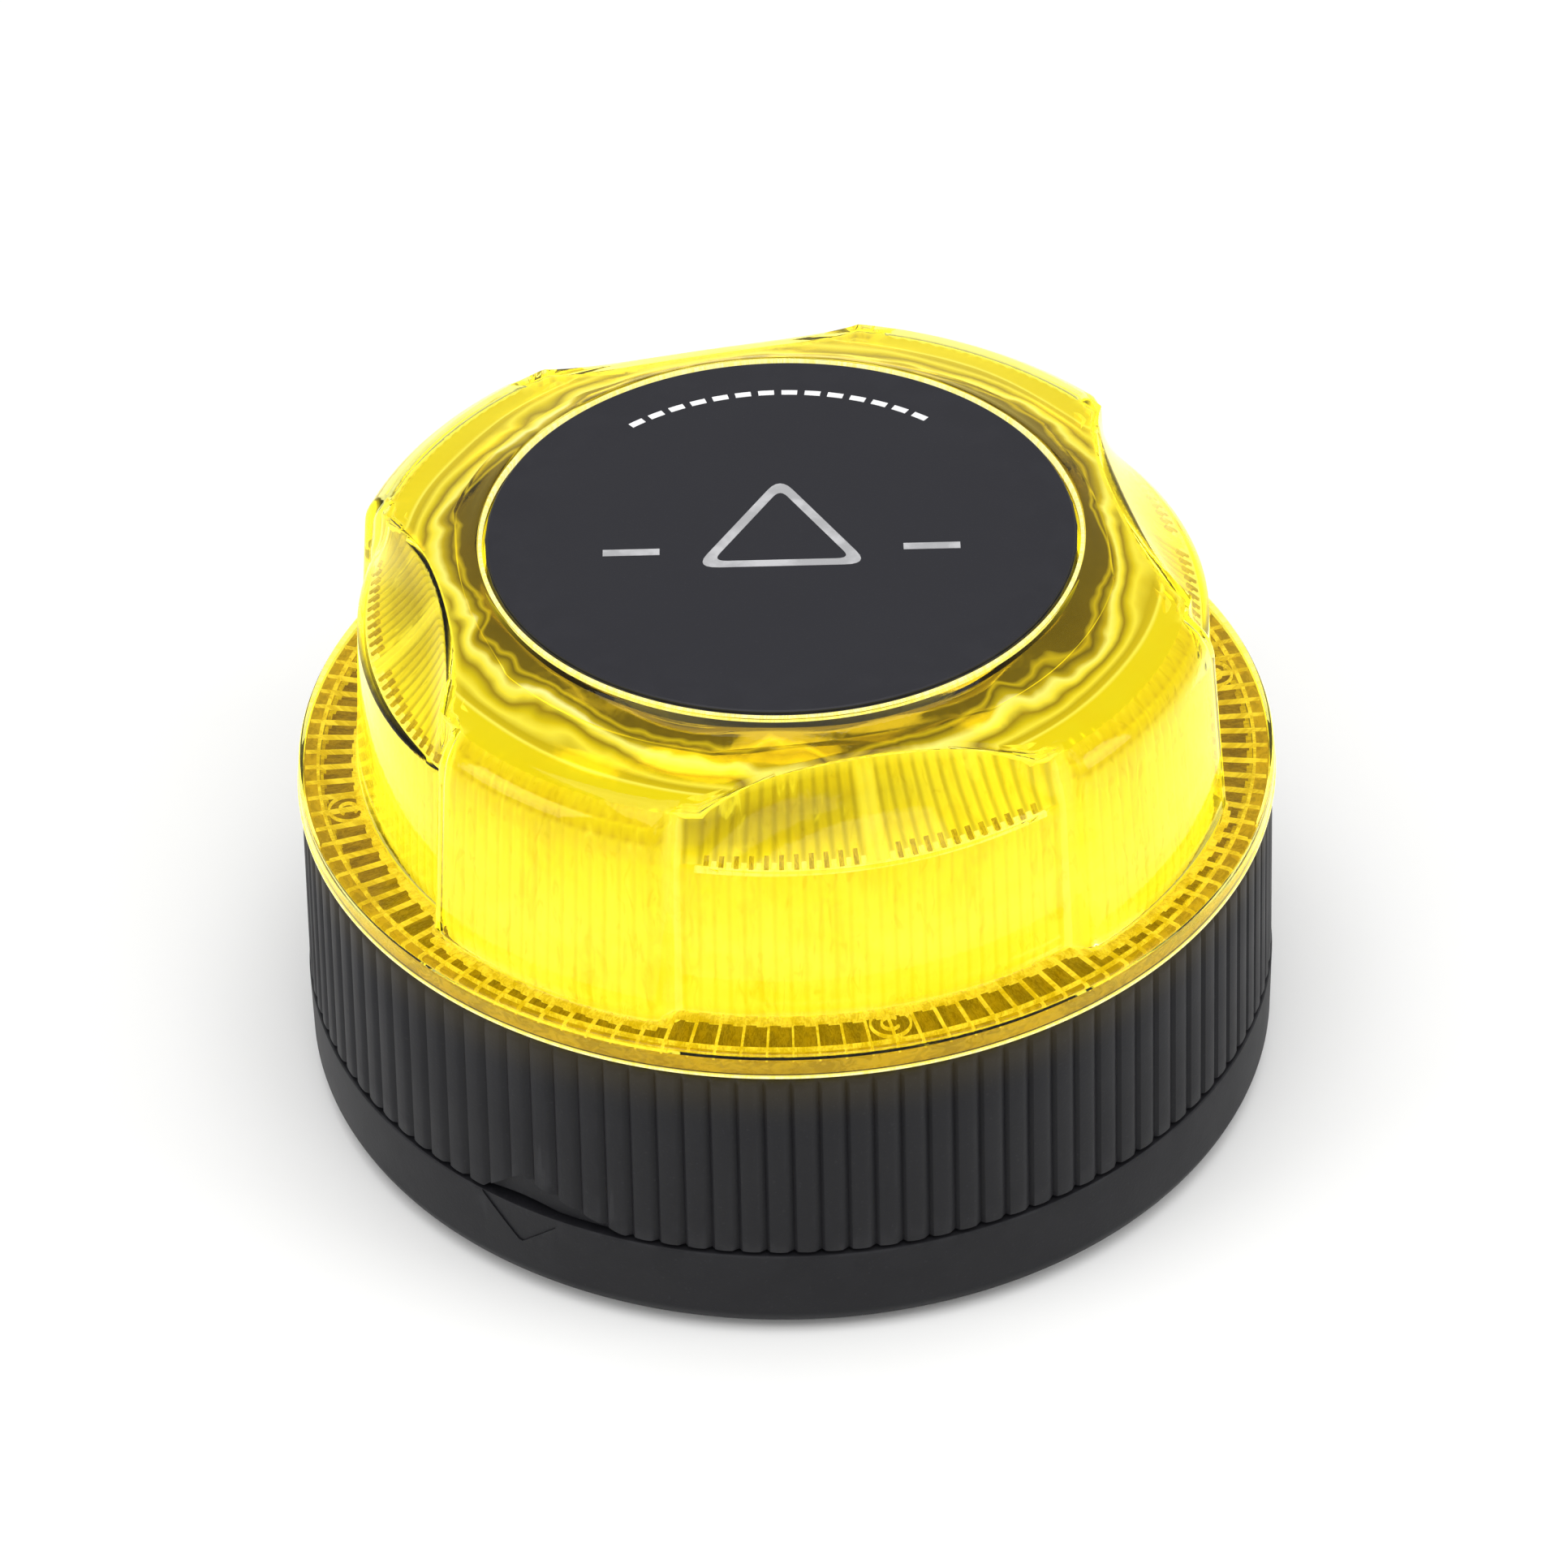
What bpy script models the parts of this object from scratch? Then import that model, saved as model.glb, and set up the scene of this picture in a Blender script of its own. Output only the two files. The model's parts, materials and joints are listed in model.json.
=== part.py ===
"""Battery road flare: an amber beacon lens on a ribbed housing with a twist-off magnetic foot.

+Z up. The origin is the centre of the foot pad's underside, and the front is -Y.
Lengths below are in millimetres and are scaled to metres when each mesh is made.
Bearings are in degrees round Z: 0 is the front (-Y) and they grow towards +X.
"""

import math

import bmesh
import bpy
import numpy as np
from mathutils import Matrix

MM = 0.001
FIT_GAP = 0.3
FILM_GAP = 0.06
OVERLAP = 0.5
CUT_PAST = 1.0

# Overall sizes
FLANGE_RADIUS = 48.0
COVER_RADIUS = 48.4
BUTTON_RADIUS = 28.3
PAD_PROUD = 0.8
COVER_TOP = 9.9
LENS_BASE = 32.0
FLANGE_THICKNESS = 2.6
TOP_HEIGHT = 59.4

# Lens: four full-radius lobes with a scooped window between each two
WINDOW_BEARING = 12.0
WINDOW_HALF = 26.0
LOBE_EDGE = 29.0
LOBE_SPAN_STEPS = 4
LENS_WALL = 2.2
LOBE_FOOT_RADIUS = 44.2
LOBE_DRAFT = 0.0935
WINDOW_FOOT_RADIUS = 42.0
WINDOW_DRAFT = 0.063
LEDGE_HEIGHT = 50.5
SCOOP_TOP_RADIUS = 33.6
SCOOP_SIDE_RADIUS = 43.2
SCOOP_POWER = 2.0
CROWN = ((29.4, 59.3), (30.4, 58.8), (33.5, 57.8), (38.4, 56.8), (41.5, 55.3), (42.4, 53.6))
CROWN_MIDDLE = 32.4
LOBE_INSIDE = ((33.0, 55.2), (38.6, 54.2))
WINDOW_INSIDE = ((33.0, 53.4), (38.2, 49.7))
WELL_INSIDE = 29.5
WALL_MIDDLE = 42.0
INSIDE_TOP = 48.2
FLANGE_DRAFT = 0.4
LEAST_LEDGE = 0.1
BUTTON_BORE = 28.6
SHELF_TOP = 54.3
SHELF_BOTTOM = 52.8
SHELF_RADIUS = 25.0
LENS_BOSS_CIRCLE = 42.4
LENS_BOSS_RADIUS = 2.05
LENS_PILOT_RADIUS = 1.0

# Housing
RIB_COUNT = 116
RIB_DEPTH = 0.5
POINTS_PER_RIB = 2
POST_RADIUS = 2.6
PILOT_RADIUS = 1.3
PILOT_DEPTH = 1.2
HOUSING_FOOT = 10.2
HOUSING_FOOT_RADIUS = 48.3
HOUSING_HEAD = 31.2
HOUSING_HEAD_RADIUS = 47.7
HOUSING_BORE = 44.8
RIM_RADIUS = 46.9
RIM_BORE = 46.6
RIM_TOP = 31.6
SEAT_HEIGHT = 30.6
DECK_TOP = 28.0
DECK_BOTTOM = 26.0
DECK_OPENING = 16.0
MARK_LEFT, MARK_PEAK, MARK_RIGHT = -38.5, -33.0, -19.3
MARK_HEIGHT = 13.95
MARK_FLOOR_RADIUS = 47.3
MARK_DIP = 0.1
CUT_RADIUS = 50.0

# Twist lock between housing and cover
LUG_COUNT = 4
LUG_BEARING = 40.0
LUG_HALF = 8.0
LUG_HEIGHT = 2.2
LUG_BASE = 18.5
LUG_CLEARANCE = 0.5
THREAD_RISE = 0.1
RAIL_LOW, RAIL_HIGH = -30.0, 4.0
RAIL_HEIGHT = 1.6
RAIL_CLEARANCE = 0.4
NECK_CLEARANCE = 0.4
RAIL_ROOT = 0.4
STOP_START, STOP_END = 8.7, 11.5
STOP_BELOW, STOP_ABOVE = 0.8, 1.0
NECK_RADIUS = 43.0
NECK_BORE = 41.0
NECK_TOP = 21.5

# Button and switch
CAP_TOP = 59.05
CAP_PLATE_BASE = 57.6
CAP_SKIRT_FOOT = 56.2
CAP_SKIRT_BORE = 26.7
CAP_POST_RADIUS = 2.4
CAP_POST_FOOT = 53.9
HOOK_OUTLINE = (
    (-24.6, 58.1), (-23.4, 58.1), (-23.4, 51.2), (-24.8, 51.2), (-25.8, 52.0), (-25.8, 52.4),
    (-24.6, 52.4),
)
HOOK_HALF_WIDTH = 2.0
HOOK_COUNT = 3
HOOK_BEARING = 60.0
FILM_MARGIN = 0.15
SWITCH_HALF = 3.0
SWITCH_HEIGHT = 3.0
SWITCH_WELL_RADIUS = 1.95
SWITCH_WELL_FLOOR = 0.8
PLUNGER_RADIUS = 1.7
PLUNGER_TIP_RADIUS = 1.5
PLUNGER_TOP = 53.6
PLUNGER_FOOT = 1.8
SPRING_RADIUS = 6.0
SPRING_TOP = 57.3
SPRING_TURNS = 5
SPRING_WIRE = 0.35
SEAL_INNER, SEAL_OUTER, SEAL_TOP = 25.4, 28.2, 55.1

# Cover and foot
COVER_FLOOR_BASE, COVER_FLOOR_TOP = 1.6, 3.4
SKIRT_BORE = 46.0
SEAL_SEAT_RADIUS = 42.2
SEAL_SEAT_LOW, SEAL_SEAT_HIGH = 10.5, 12.9
SEAL_RING_RADIUS, SEAL_RING_HEIGHT, SEAL_SECTION = 43.55, 11.7, 0.93
RECESS_RADIUS = 38.5
PAD_RADIUS = 38.1
PAD_CHAMFER = 0.3
KEEPER_BORE, KEEPER_RADIUS, KEEPER_THICKNESS = 6.0, 34.0, 1.0

# Boards, lamp and cells
BOARD_THICKNESS = 1.2
MAIN_BOARD_BASE = 30.0
LED_BOARD_BASE = 35.0
TOP_BOARD_BASE = 47.7
SCREW_HEAD = 2.1
SCREW_HEAD_HEIGHT = 1.4
BOARD_SHANK = 1.0
BOARD_SCREW_REACH = 0.8
LENS_SHANK = 0.8
LENS_SCREW_SHORT = 0.7
LENS_HEAD_HEIGHT = 1.2
GASKET_INNER, GASKET_OUTER, GASKET_LOW, GASKET_HIGH = 45.1, 46.3, 30.9, 31.7
SPACER_CIRCLE = 27.0
SPACER_COUNT = 3
LED_COUNT = 12
LED_CIRCLE = 32.5
LED_HALF = 2.5
LED_HEIGHT = 1.8
LED_RIM = 0.6
LED_DISH = 0.5
MAIN_BOARD_RADIUS = 38.5
LED_BOARD_INNER, LED_BOARD_OUTER = 18.0, 38.0
TOP_BOARD_RADIUS = 22.0
SCREW_CLEARANCE = 1.35
SOLDER_GAP = 0.1
REFLECTOR_OUTLINE = (
    (17.4, 36.5), (19.0, 36.5), (19.6, 38.4), (22.6, 42.4), (28.0, 46.2), (34.6, 49.2),
    (35.4, 49.4), (35.4, 50.4), (34.4, 50.4), (27.0, 47.6), (24.0, 47.4), (8.0, 47.4),
    (8.0, 46.0), (24.2, 46.0), (21.0, 43.2), (18.0, 38.8),
)
CELL_RADIUS = 7.25
CELL_HEIGHT = 16.3
CELL_PITCH = 14.9
CELL_LENGTH = 50.5
HOLDER_HALF_LENGTH = 31.0
HOLDER_HALF_WIDTH = 24.1
HOLDER_WALL = 1.5
HOLDER_TOP = 25.7
HOLDER_FOOT = 12.5
CONTACT_RADII = (4.2, 2.8)
CONTACT_TURNS = 3
CONTACT_WIRE = 0.4
MAGNET_CIRCLE = 24.0
MAGNET_RADIUS = 7.5
MAGNET_HEIGHT = 3.0
MAGNET_COUNT = 3


def clear_scene():
    """Remove every object of the start-up scene."""
    for obj in list(bpy.data.objects):
        bpy.data.objects.remove(obj, do_unlink=True)


def material(name, colour, roughness, metallic=0.0, alpha=1.0):
    """One Principled BSDF material."""
    made = bpy.data.materials.new(name)
    made.use_nodes = True
    shader = made.node_tree.nodes["Principled BSDF"]
    shader.inputs["Base Color"].default_value = (*colour, 1.0)
    shader.inputs["Roughness"].default_value = roughness
    shader.inputs["Metallic"].default_value = metallic
    shader.inputs["Alpha"].default_value = alpha
    made.diffuse_color = (*colour, alpha)
    return made


def group(name, height):
    """An empty on the Z axis, which carries the pieces of one moving or fixed group."""
    empty = bpy.data.objects.new(name, None)
    empty.location = (0.0, 0.0, height * MM)
    bpy.context.scene.collection.objects.link(empty)
    return empty


def place(name, bm, look, parent, smooth=40.0):
    """Turn a bmesh in millimetres into a named object, with its origin on its group's empty."""
    bmesh.ops.remove_doubles(bm, verts=bm.verts, dist=1e-4)
    bmesh.ops.recalc_face_normals(bm, faces=bm.faces)
    bmesh.ops.scale(bm, vec=(MM, MM, MM), verts=bm.verts)
    bmesh.ops.translate(bm, vec=-parent.location, verts=bm.verts)
    mesh = bpy.data.meshes.new(name)
    bm.to_mesh(mesh)
    bm.free()
    mesh.materials.append(look(f"{name}_finish"))
    mesh.shade_smooth()
    mesh.set_sharp_from_angle(angle=math.radians(smooth))
    obj = bpy.data.objects.new(name, mesh)
    obj.parent = parent
    bpy.context.scene.collection.objects.link(obj)
    return obj


def boolean(target, tool, operation):
    """Add an exact Boolean to target and leave its tool as a hidden wire helper."""
    tool.hide_render = True
    tool.display_type = "WIRE"
    modifier = target.modifiers.new(f"{operation.lower()}_{tool.name}", "BOOLEAN")
    modifier.operation = operation
    modifier.solver = "EXACT"
    modifier.object = tool


def around(bearing, radius):
    """The (x, y) of a point at this bearing and radius."""
    angle = math.radians(bearing - 90.0)
    return radius * math.cos(angle), radius * math.sin(angle)


def ring_points(count, first=0.0):
    """Evenly spaced bearings, one for each of count places."""
    return [first + 360.0 * i / count for i in range(count)]


def turned(outline, steps=48, centre=(0.0, 0.0)):
    """A (radius, height) outline turned round a vertical axis. It may start and end on the axis."""
    bm = bmesh.new()
    points = [bm.verts.new((radius, 0.0, height)) for radius, height in outline]
    closed = outline[0][0] > 0.0
    edges = [bm.edges.new(pair) for pair in zip(points, points[1:])]
    if closed:
        edges.append(bm.edges.new((points[-1], points[0])))
    bmesh.ops.spin(
        bm, geom=points + edges, cent=(0, 0, 0), axis=(0, 0, 1),
        angle=math.tau, steps=steps, use_merge=True,
    )
    bmesh.ops.remove_doubles(bm, verts=bm.verts, dist=1e-4)
    bmesh.ops.translate(bm, vec=(*centre, 0.0), verts=bm.verts)
    return bm


def rod(radius, low, high, centre=(0.0, 0.0), steps=16):
    """An upright round bar."""
    return turned([(0.0, high), (radius, high), (radius, low), (0.0, low)], steps, centre)


def tube(inner, outer, low, high, centre=(0.0, 0.0), steps=48):
    """An upright tube, or a flat ring when it is short."""
    return turned([(outer, high), (outer, low), (inner, low), (inner, high)], steps, centre)


def block(x, y, z, bevel=0.0):
    """A box from (low, high) pairs along X, Y and Z, with its edges rounded by a small chamfer."""
    bm = bmesh.new()
    bmesh.ops.create_cube(bm, size=1.0)
    for axis, (low, high) in enumerate((x, y, z)):
        for vert in bm.verts:
            vert.co[axis] = low if vert.co[axis] < 0.0 else high
    if bevel:
        bmesh.ops.bevel(bm, geom=list(bm.edges), offset=bevel, segments=1, affect="EDGES")
    return bm


def extruded(outline, low, high):
    """A closed (y, z) outline extruded along X."""
    bm = bmesh.new()
    ends = [[bm.verts.new((x, y, z)) for y, z in outline] for x in (low, high)]
    for i in range(len(outline)):
        j = (i + 1) % len(outline)
        bm.faces.new((ends[0][i], ends[0][j], ends[1][j], ends[1][i]))
    bm.faces.new(ends[0])
    bm.faces.new(ends[1][::-1])
    return bm


def merged(parts):
    """Several bmeshes in one, left as separate bodies."""
    whole = bmesh.new()
    for part in parts:
        mesh = bpy.data.meshes.new("part")
        part.to_mesh(mesh)
        part.free()
        whole.from_mesh(mesh)
        bpy.data.meshes.remove(mesh)
    return whole


def turn(bm, bearing):
    """Turn a bmesh round Z by a bearing."""
    bmesh.ops.rotate(
        bm, cent=(0, 0, 0), matrix=Matrix.Rotation(math.radians(bearing), 3, "Z"), verts=bm.verts
    )
    return bm


def loft(rings):
    """Skin closed rings of equal length one after another, and back to the first."""
    bm = bmesh.new()
    loops = [[bm.verts.new(point) for point in ring] for ring in rings]
    for ring, following in zip(loops, loops[1:] + loops[:1]):
        for i, vert in enumerate(ring):
            j = (i + 1) % len(ring)
            bm.faces.new((vert, ring[j], following[j], following[i]))
    return bm


def curved_bar(bearings, inner, outer, low, high):
    """A bar that follows the housing's curve; low and high give its heights at each bearing."""
    bm = bmesh.new()
    sections = []
    for bearing in bearings:
        near, far = around(bearing, inner), around(bearing, outer)
        bottom, top = low(bearing), high(bearing)
        sections.append([bm.verts.new((*xy, z)) for xy, z in
                         ((near, bottom), (far, bottom), (far, top), (near, top))])
    for section, following in zip(sections, sections[1:]):
        for i in range(4):
            j = (i + 1) % 4
            bm.faces.new((section[i], section[j], following[j], following[i]))
    bm.faces.new(sections[0])
    bm.faces.new(sections[-1][::-1])
    return bm


def coil(foot_radius, head_radius, low, high, turns, wire, steps, sides):
    """A coil of round wire along +Z, whose radius goes evenly from foot_radius to head_radius."""
    bm = bmesh.new()
    count = int(turns * steps)
    rings = []
    for k in range(count + 1):
        share = k / count
        angle = math.tau * turns * share
        radius = foot_radius + (head_radius - foot_radius) * share
        height = low + wire + (high - low - 2 * wire) * share
        ring = []
        for s in range(sides):
            out = wire * math.cos(math.tau * s / sides)
            up = wire * math.sin(math.tau * s / sides)
            ring.append(bm.verts.new(((radius + out) * math.cos(angle),
                                      (radius + out) * math.sin(angle), height + up)))
        rings.append(ring)
    for ring, following in zip(rings, rings[1:]):
        for s in range(sides):
            t = (s + 1) % sides
            bm.faces.new((ring[s], ring[t], following[t], following[s]))
    bm.faces.new(rings[0])
    bm.faces.new(rings[-1][::-1])
    return bm


def lead(name, points, radius, look, parent):
    """A wire: a curve with a round bevel and filled caps along a smooth path through points."""
    smooth_path = smoothed(points, 10)
    curve = bpy.data.curves.new(name, "CURVE")
    curve.dimensions = "3D"
    curve.bevel_depth = radius * MM
    curve.bevel_resolution = 2
    curve.use_fill_caps = True
    spline = curve.splines.new("POLY")
    spline.points.add(len(smooth_path) - 1)
    for target, point in zip(spline.points, smooth_path):
        world = [value * MM for value in point]
        target.co = (world[0], world[1], world[2] - parent.location.z, 1.0)
    curve.materials.append(look(f"{name}_finish"))
    obj = bpy.data.objects.new(name, curve)
    obj.parent = parent
    bpy.context.scene.collection.objects.link(obj)
    return obj


def smoothed(points, count):
    """Points read at even steps from a Bezier curve through the control points."""
    control = np.array(points, dtype=float)
    degree = len(control) - 1
    path = []
    for t in np.linspace(0.0, 1.0, count):
        weights = [math.comb(degree, k) * t**k * (1 - t) ** (degree - k) for k in range(degree + 1)]
        path.append(tuple(np.dot(weights, control)))
    return path


# Finishes ---------------------------------------------------------------------------------------


def amber(name):
    """Clear amber plastic."""
    return material(name, (1.0, 0.72, 0.02), 0.08, alpha=0.55)


def satin_black(name):
    """Satin black plastic."""
    return material(name, (0.030, 0.030, 0.036), 0.35)


def matte_black(name):
    """Grained black plastic."""
    return material(name, (0.024, 0.024, 0.027), 0.55)


def rubber_black(name):
    """Black rubber."""
    return material(name, (0.015, 0.015, 0.016), 0.8)


def silicone(name):
    """Pale grey silicone."""
    return material(name, (0.55, 0.56, 0.56), 0.6)


def mirror_metal(name):
    """Bright metallised plastic."""
    return material(name, (0.85, 0.84, 0.80), 0.12, 1.0)


def steel(name):
    """Zinc-coated steel."""
    return material(name, (0.55, 0.56, 0.58), 0.35, 1.0)


def nickel(name):
    """Nickel plate."""
    return material(name, (0.68, 0.67, 0.63), 0.25, 1.0)


def board_green(name):
    """Green circuit board."""
    return material(name, (0.02, 0.16, 0.07), 0.45)


def ceramic(name):
    """Pale ceramic."""
    return material(name, (0.62, 0.58, 0.50), 0.5)


def white_plastic(name):
    """White plastic."""
    return material(name, (0.80, 0.80, 0.76), 0.45)


def chip_black(name):
    """Black chip epoxy."""
    return material(name, (0.02, 0.02, 0.022), 0.5)


def cell_wrap(name):
    """A cell's dark film."""
    return material(name, (0.10, 0.11, 0.13), 0.3)


def lead_red(name):
    """Red wire insulation."""
    return material(name, (0.55, 0.02, 0.02), 0.5)


def lead_black(name):
    """Black wire insulation."""
    return material(name, (0.02, 0.02, 0.02), 0.5)


# Lens -------------------------------------------------------------------------------------------


def crown_height(radius):
    """Height of the lens's crown at a radius, read from its outline."""
    radii, heights = zip(*CROWN)
    return float(np.interp(radius, radii, heights))


def window_share(offset):
    """0 on a lobe and 1 in a window, from the bearing's offset from the window's middle."""
    share = (LOBE_EDGE - abs(offset)) / (LOBE_EDGE - WINDOW_HALF)
    share = min(max(share, 0.0), 1.0)
    return share * share * (3.0 - 2.0 * share)


def scoop_radius(offset):
    """Radius at which a window's scoop meets the crown."""
    share = min(abs(offset) / WINDOW_HALF, 1.0)
    rise = (1.0 - share**SCOOP_POWER) ** (1.0 / SCOOP_POWER)
    return SCOOP_SIDE_RADIUS - (SCOOP_SIDE_RADIUS - SCOOP_TOP_RADIUS) * rise


def lobe_radius(height):
    """Outside radius of a lobe's wall."""
    return LOBE_FOOT_RADIUS - LOBE_DRAFT * (height - LENS_BASE - FLANGE_THICKNESS)


def window_radius(height):
    """Outside radius of a window's wall."""
    return WINDOW_FOOT_RADIUS - WINDOW_DRAFT * (height - LENS_BASE - FLANGE_THICKNESS)


def lens_outline(offset):
    """The closed (radius, height) outline of the lens at one offset from a window's middle."""
    flange_top = LENS_BASE + FLANGE_THICKNESS
    wall_heights = (flange_top, WALL_MIDDLE, LEDGE_HEIGHT)
    lobe = [(lobe_radius(z), z) for z in wall_heights]
    lobe += [CROWN[5], CROWN[4], CROWN[3]]
    window = [(window_radius(z), z) for z in wall_heights]
    ledge = window[-1]
    meet_radius = min(scoop_radius(offset), ledge[0] - LEAST_LEDGE)
    meet = (meet_radius, crown_height(meet_radius))
    for share in (1 / 3, 2 / 3, 1.0):
        window.append(tuple(a + (b - a) * share for a, b in zip(ledge, meet)))
    inner_heights = (INSIDE_TOP, WALL_MIDDLE, LENS_BASE)
    lobe_inside = [*LOBE_INSIDE, *((lobe_radius(z) - LENS_WALL, z) for z in inner_heights)]
    window_inside = [*WINDOW_INSIDE, *((window_radius(z) - LENS_WALL, z) for z in inner_heights)]
    share = window_share(offset)

    def between(low, high):
        """The points of two outlines, blended by share."""
        return [tuple(a + (b - a) * share for a, b in zip(p, q)) for p, q in zip(low, high)]

    middle = (CROWN_MIDDLE, crown_height(CROWN_MIDDLE))
    top = [middle, CROWN[1], CROWN[0], (BUTTON_BORE, CROWN[0][1])]
    well = [(BUTTON_BORE, SHELF_TOP), (SHELF_RADIUS, SHELF_TOP), (SHELF_RADIUS, SHELF_BOTTOM)]
    return [
        (FLANGE_RADIUS, LENS_BASE), (FLANGE_RADIUS - FLANGE_DRAFT, flange_top),
        *between(lobe, window), *top, *well, (WELL_INSIDE, SHELF_BOTTOM),
        *between(lobe_inside, window_inside),
    ]


def lens_offsets():
    """Offsets from a window's middle over one quarter: close together at a window's edges."""
    edge = (LOBE_EDGE + WINDOW_HALF) / 2
    half = [0.0, 5.5, 11.0, 17.0, 22.0, WINDOW_HALF, edge, LOBE_EDGE]
    window = [-offset for offset in half[:0:-1]] + half
    step = (90.0 - 2 * LOBE_EDGE) / LOBE_SPAN_STEPS
    return window + [LOBE_EDGE + step * k for k in range(1, LOBE_SPAN_STEPS)]


def make_lens(parent):
    """The amber lens with its flange, button well and four screw bosses."""
    rings = []
    for quarter in range(4):
        for offset in lens_offsets():
            bearing = WINDOW_BEARING + 90.0 * quarter + offset
            rings.append([(*around(bearing, r), z) for r, z in lens_outline(offset)])
    lens = place("lens", loft(rings), amber, parent, smooth=50.0)
    places = [around(bearing, LENS_BOSS_CIRCLE) for bearing in ring_points(4, WINDOW_BEARING)]
    bosses = [rod(LENS_BOSS_RADIUS, DECK_TOP + FIT_GAP, LENS_BASE + 0.5, xy) for xy in places]
    holes = [rod(LENS_PILOT_RADIUS, DECK_TOP, LENS_BASE - FIT_GAP, xy, 12) for xy in places]
    boolean(lens, place("lens_boss_tool", merged(bosses), amber, parent), "UNION")
    boolean(lens, place("lens_hole_tool", merged(holes), amber, parent), "DIFFERENCE")


# Housing ----------------------------------------------------------------------------------------


def ribbed_ring(radius, height):
    """One ring of the ribbed wall: crests and valleys by turns."""
    places = ring_points(RIB_COUNT * POINTS_PER_RIB)
    return [(*around(b, radius - RIB_DEPTH * (i % 2)), height) for i, b in enumerate(places)]


def make_housing(parent):
    """The ribbed housing with its deck, screw posts and the rails of the twist lock."""
    plain_count = RIB_COUNT // 2
    points_per_plain = RIB_COUNT * POINTS_PER_RIB // plain_count
    bm = bmesh.new()
    foot = [bm.verts.new(p) for p in ribbed_ring(HOUSING_FOOT_RADIUS, HOUSING_FOOT)]
    head = [bm.verts.new(p) for p in ribbed_ring(HOUSING_HEAD_RADIUS, HOUSING_HEAD)]
    for i in range(len(foot)):
        j = (i + 1) % len(foot)
        bm.faces.new((foot[i], foot[j], head[j], head[i]))
    outline = [
        (RIM_RADIUS, HOUSING_HEAD), (RIM_RADIUS, RIM_TOP), (RIM_BORE, RIM_TOP),
        (RIM_BORE, SEAT_HEIGHT), (HOUSING_BORE, SEAT_HEIGHT), (HOUSING_BORE, DECK_TOP),
        (DECK_OPENING, DECK_TOP), (DECK_OPENING, DECK_BOTTOM), (HOUSING_BORE, DECK_BOTTOM),
        (HOUSING_BORE, HOUSING_FOOT),
    ]
    bearings = ring_points(plain_count)
    plain = [[bm.verts.new((*around(b, r), z)) for b in bearings] for r, z in outline]
    for ring, following in zip(plain, plain[1:]):
        for i in range(plain_count):
            j = (i + 1) % plain_count
            bm.faces.new((ring[i], ring[j], following[j], following[i]))
    for ribbed, inner in ((head, plain[0]), (foot, plain[-1])):
        for i in range(plain_count):
            start = i * points_per_plain
            span = [ribbed[(start + k) % len(ribbed)] for k in range(points_per_plain + 1)]
            bm.faces.new((*span, inner[(i + 1) % plain_count], inner[i]))
    housing = place("housing", bm, matte_black, parent, smooth=25.0)
    boolean(housing, make_rails(parent), "UNION")
    boolean(housing, make_posts(parent), "UNION")
    boolean(housing, make_housing_holes(parent), "DIFFERENCE")
    boolean(housing, make_mark_tool(parent), "DIFFERENCE")


def lug_line(lug_bearing):
    """Height of a lug's underside at a bearing: the thread line that lugs and rails share."""
    return lambda bearing: LUG_BASE + THREAD_RISE * (bearing - lug_bearing)


def make_rails(parent):
    """Sloping rails inside the housing that the cover's lugs climb, each with its end stop."""
    rails = []
    for middle in ring_points(LUG_COUNT, LUG_BEARING):
        line = lug_line(middle)
        span = np.linspace(middle + RAIL_LOW, middle + RAIL_HIGH, 8)
        rails.append(curved_bar(
            span, NECK_RADIUS + NECK_CLEARANCE, HOUSING_BORE + RAIL_ROOT,
            lambda b, line=line: line(b) - RAIL_CLEARANCE - RAIL_HEIGHT,
            lambda b, line=line: line(b) - RAIL_CLEARANCE,
        ))
        stop = np.linspace(middle + STOP_START, middle + STOP_END, 2)
        rails.append(curved_bar(
            stop, NECK_RADIUS + NECK_CLEARANCE, HOUSING_BORE + RAIL_ROOT,
            lambda b: LUG_BASE - STOP_BELOW, lambda b: LUG_BASE + LUG_HEIGHT + STOP_ABOVE,
        ))
    return place("rail_tool", merged(rails), matte_black, parent)


def make_posts(parent):
    """Posts on the deck that carry the main board."""
    places = [around(bearing, SPACER_CIRCLE) for bearing in ring_points(SPACER_COUNT)]
    top = MAIN_BOARD_BASE - FIT_GAP
    posts = [rod(POST_RADIUS, DECK_TOP - OVERLAP, top, xy, 16) for xy in places]
    return place("post_tool", merged(posts), matte_black, parent)


def make_housing_holes(parent):
    """Clearance holes for the lens screws and pilot holes in the posts."""
    screws = [around(bearing, LENS_BOSS_CIRCLE) for bearing in ring_points(4, WINDOW_BEARING)]
    posts = [around(bearing, SPACER_CIRCLE) for bearing in ring_points(SPACER_COUNT)]
    holes = [rod(PILOT_RADIUS, DECK_BOTTOM - CUT_PAST, DECK_TOP + CUT_PAST, xy, 12) for xy in screws]
    holes += [rod(PILOT_RADIUS, DECK_TOP - PILOT_DEPTH, MAIN_BOARD_BASE, xy, 12) for xy in posts]
    return place("housing_hole_tool", merged(holes), matte_black, parent)


def make_mark_tool(parent):
    """The smooth three-cornered patch cut out of the ribs, which lines up with the cover's mark."""
    left = np.linspace(MARK_LEFT, MARK_PEAK, 3)
    right = np.linspace(MARK_PEAK, MARK_RIGHT, 5)[1:]
    base = HOUSING_FOOT - OVERLAP

    def edge(bearing):
        """The mark's upper edge at a bearing."""
        return float(np.interp(
            bearing, (MARK_LEFT, MARK_PEAK, MARK_RIGHT),
            (HOUSING_FOOT - MARK_DIP, MARK_HEIGHT, HOUSING_FOOT - MARK_DIP),
        ))

    bar = curved_bar([*left, *right], MARK_FLOOR_RADIUS, CUT_RADIUS, lambda b: base, edge)
    return place("mark_tool", bar, matte_black, parent)


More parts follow.
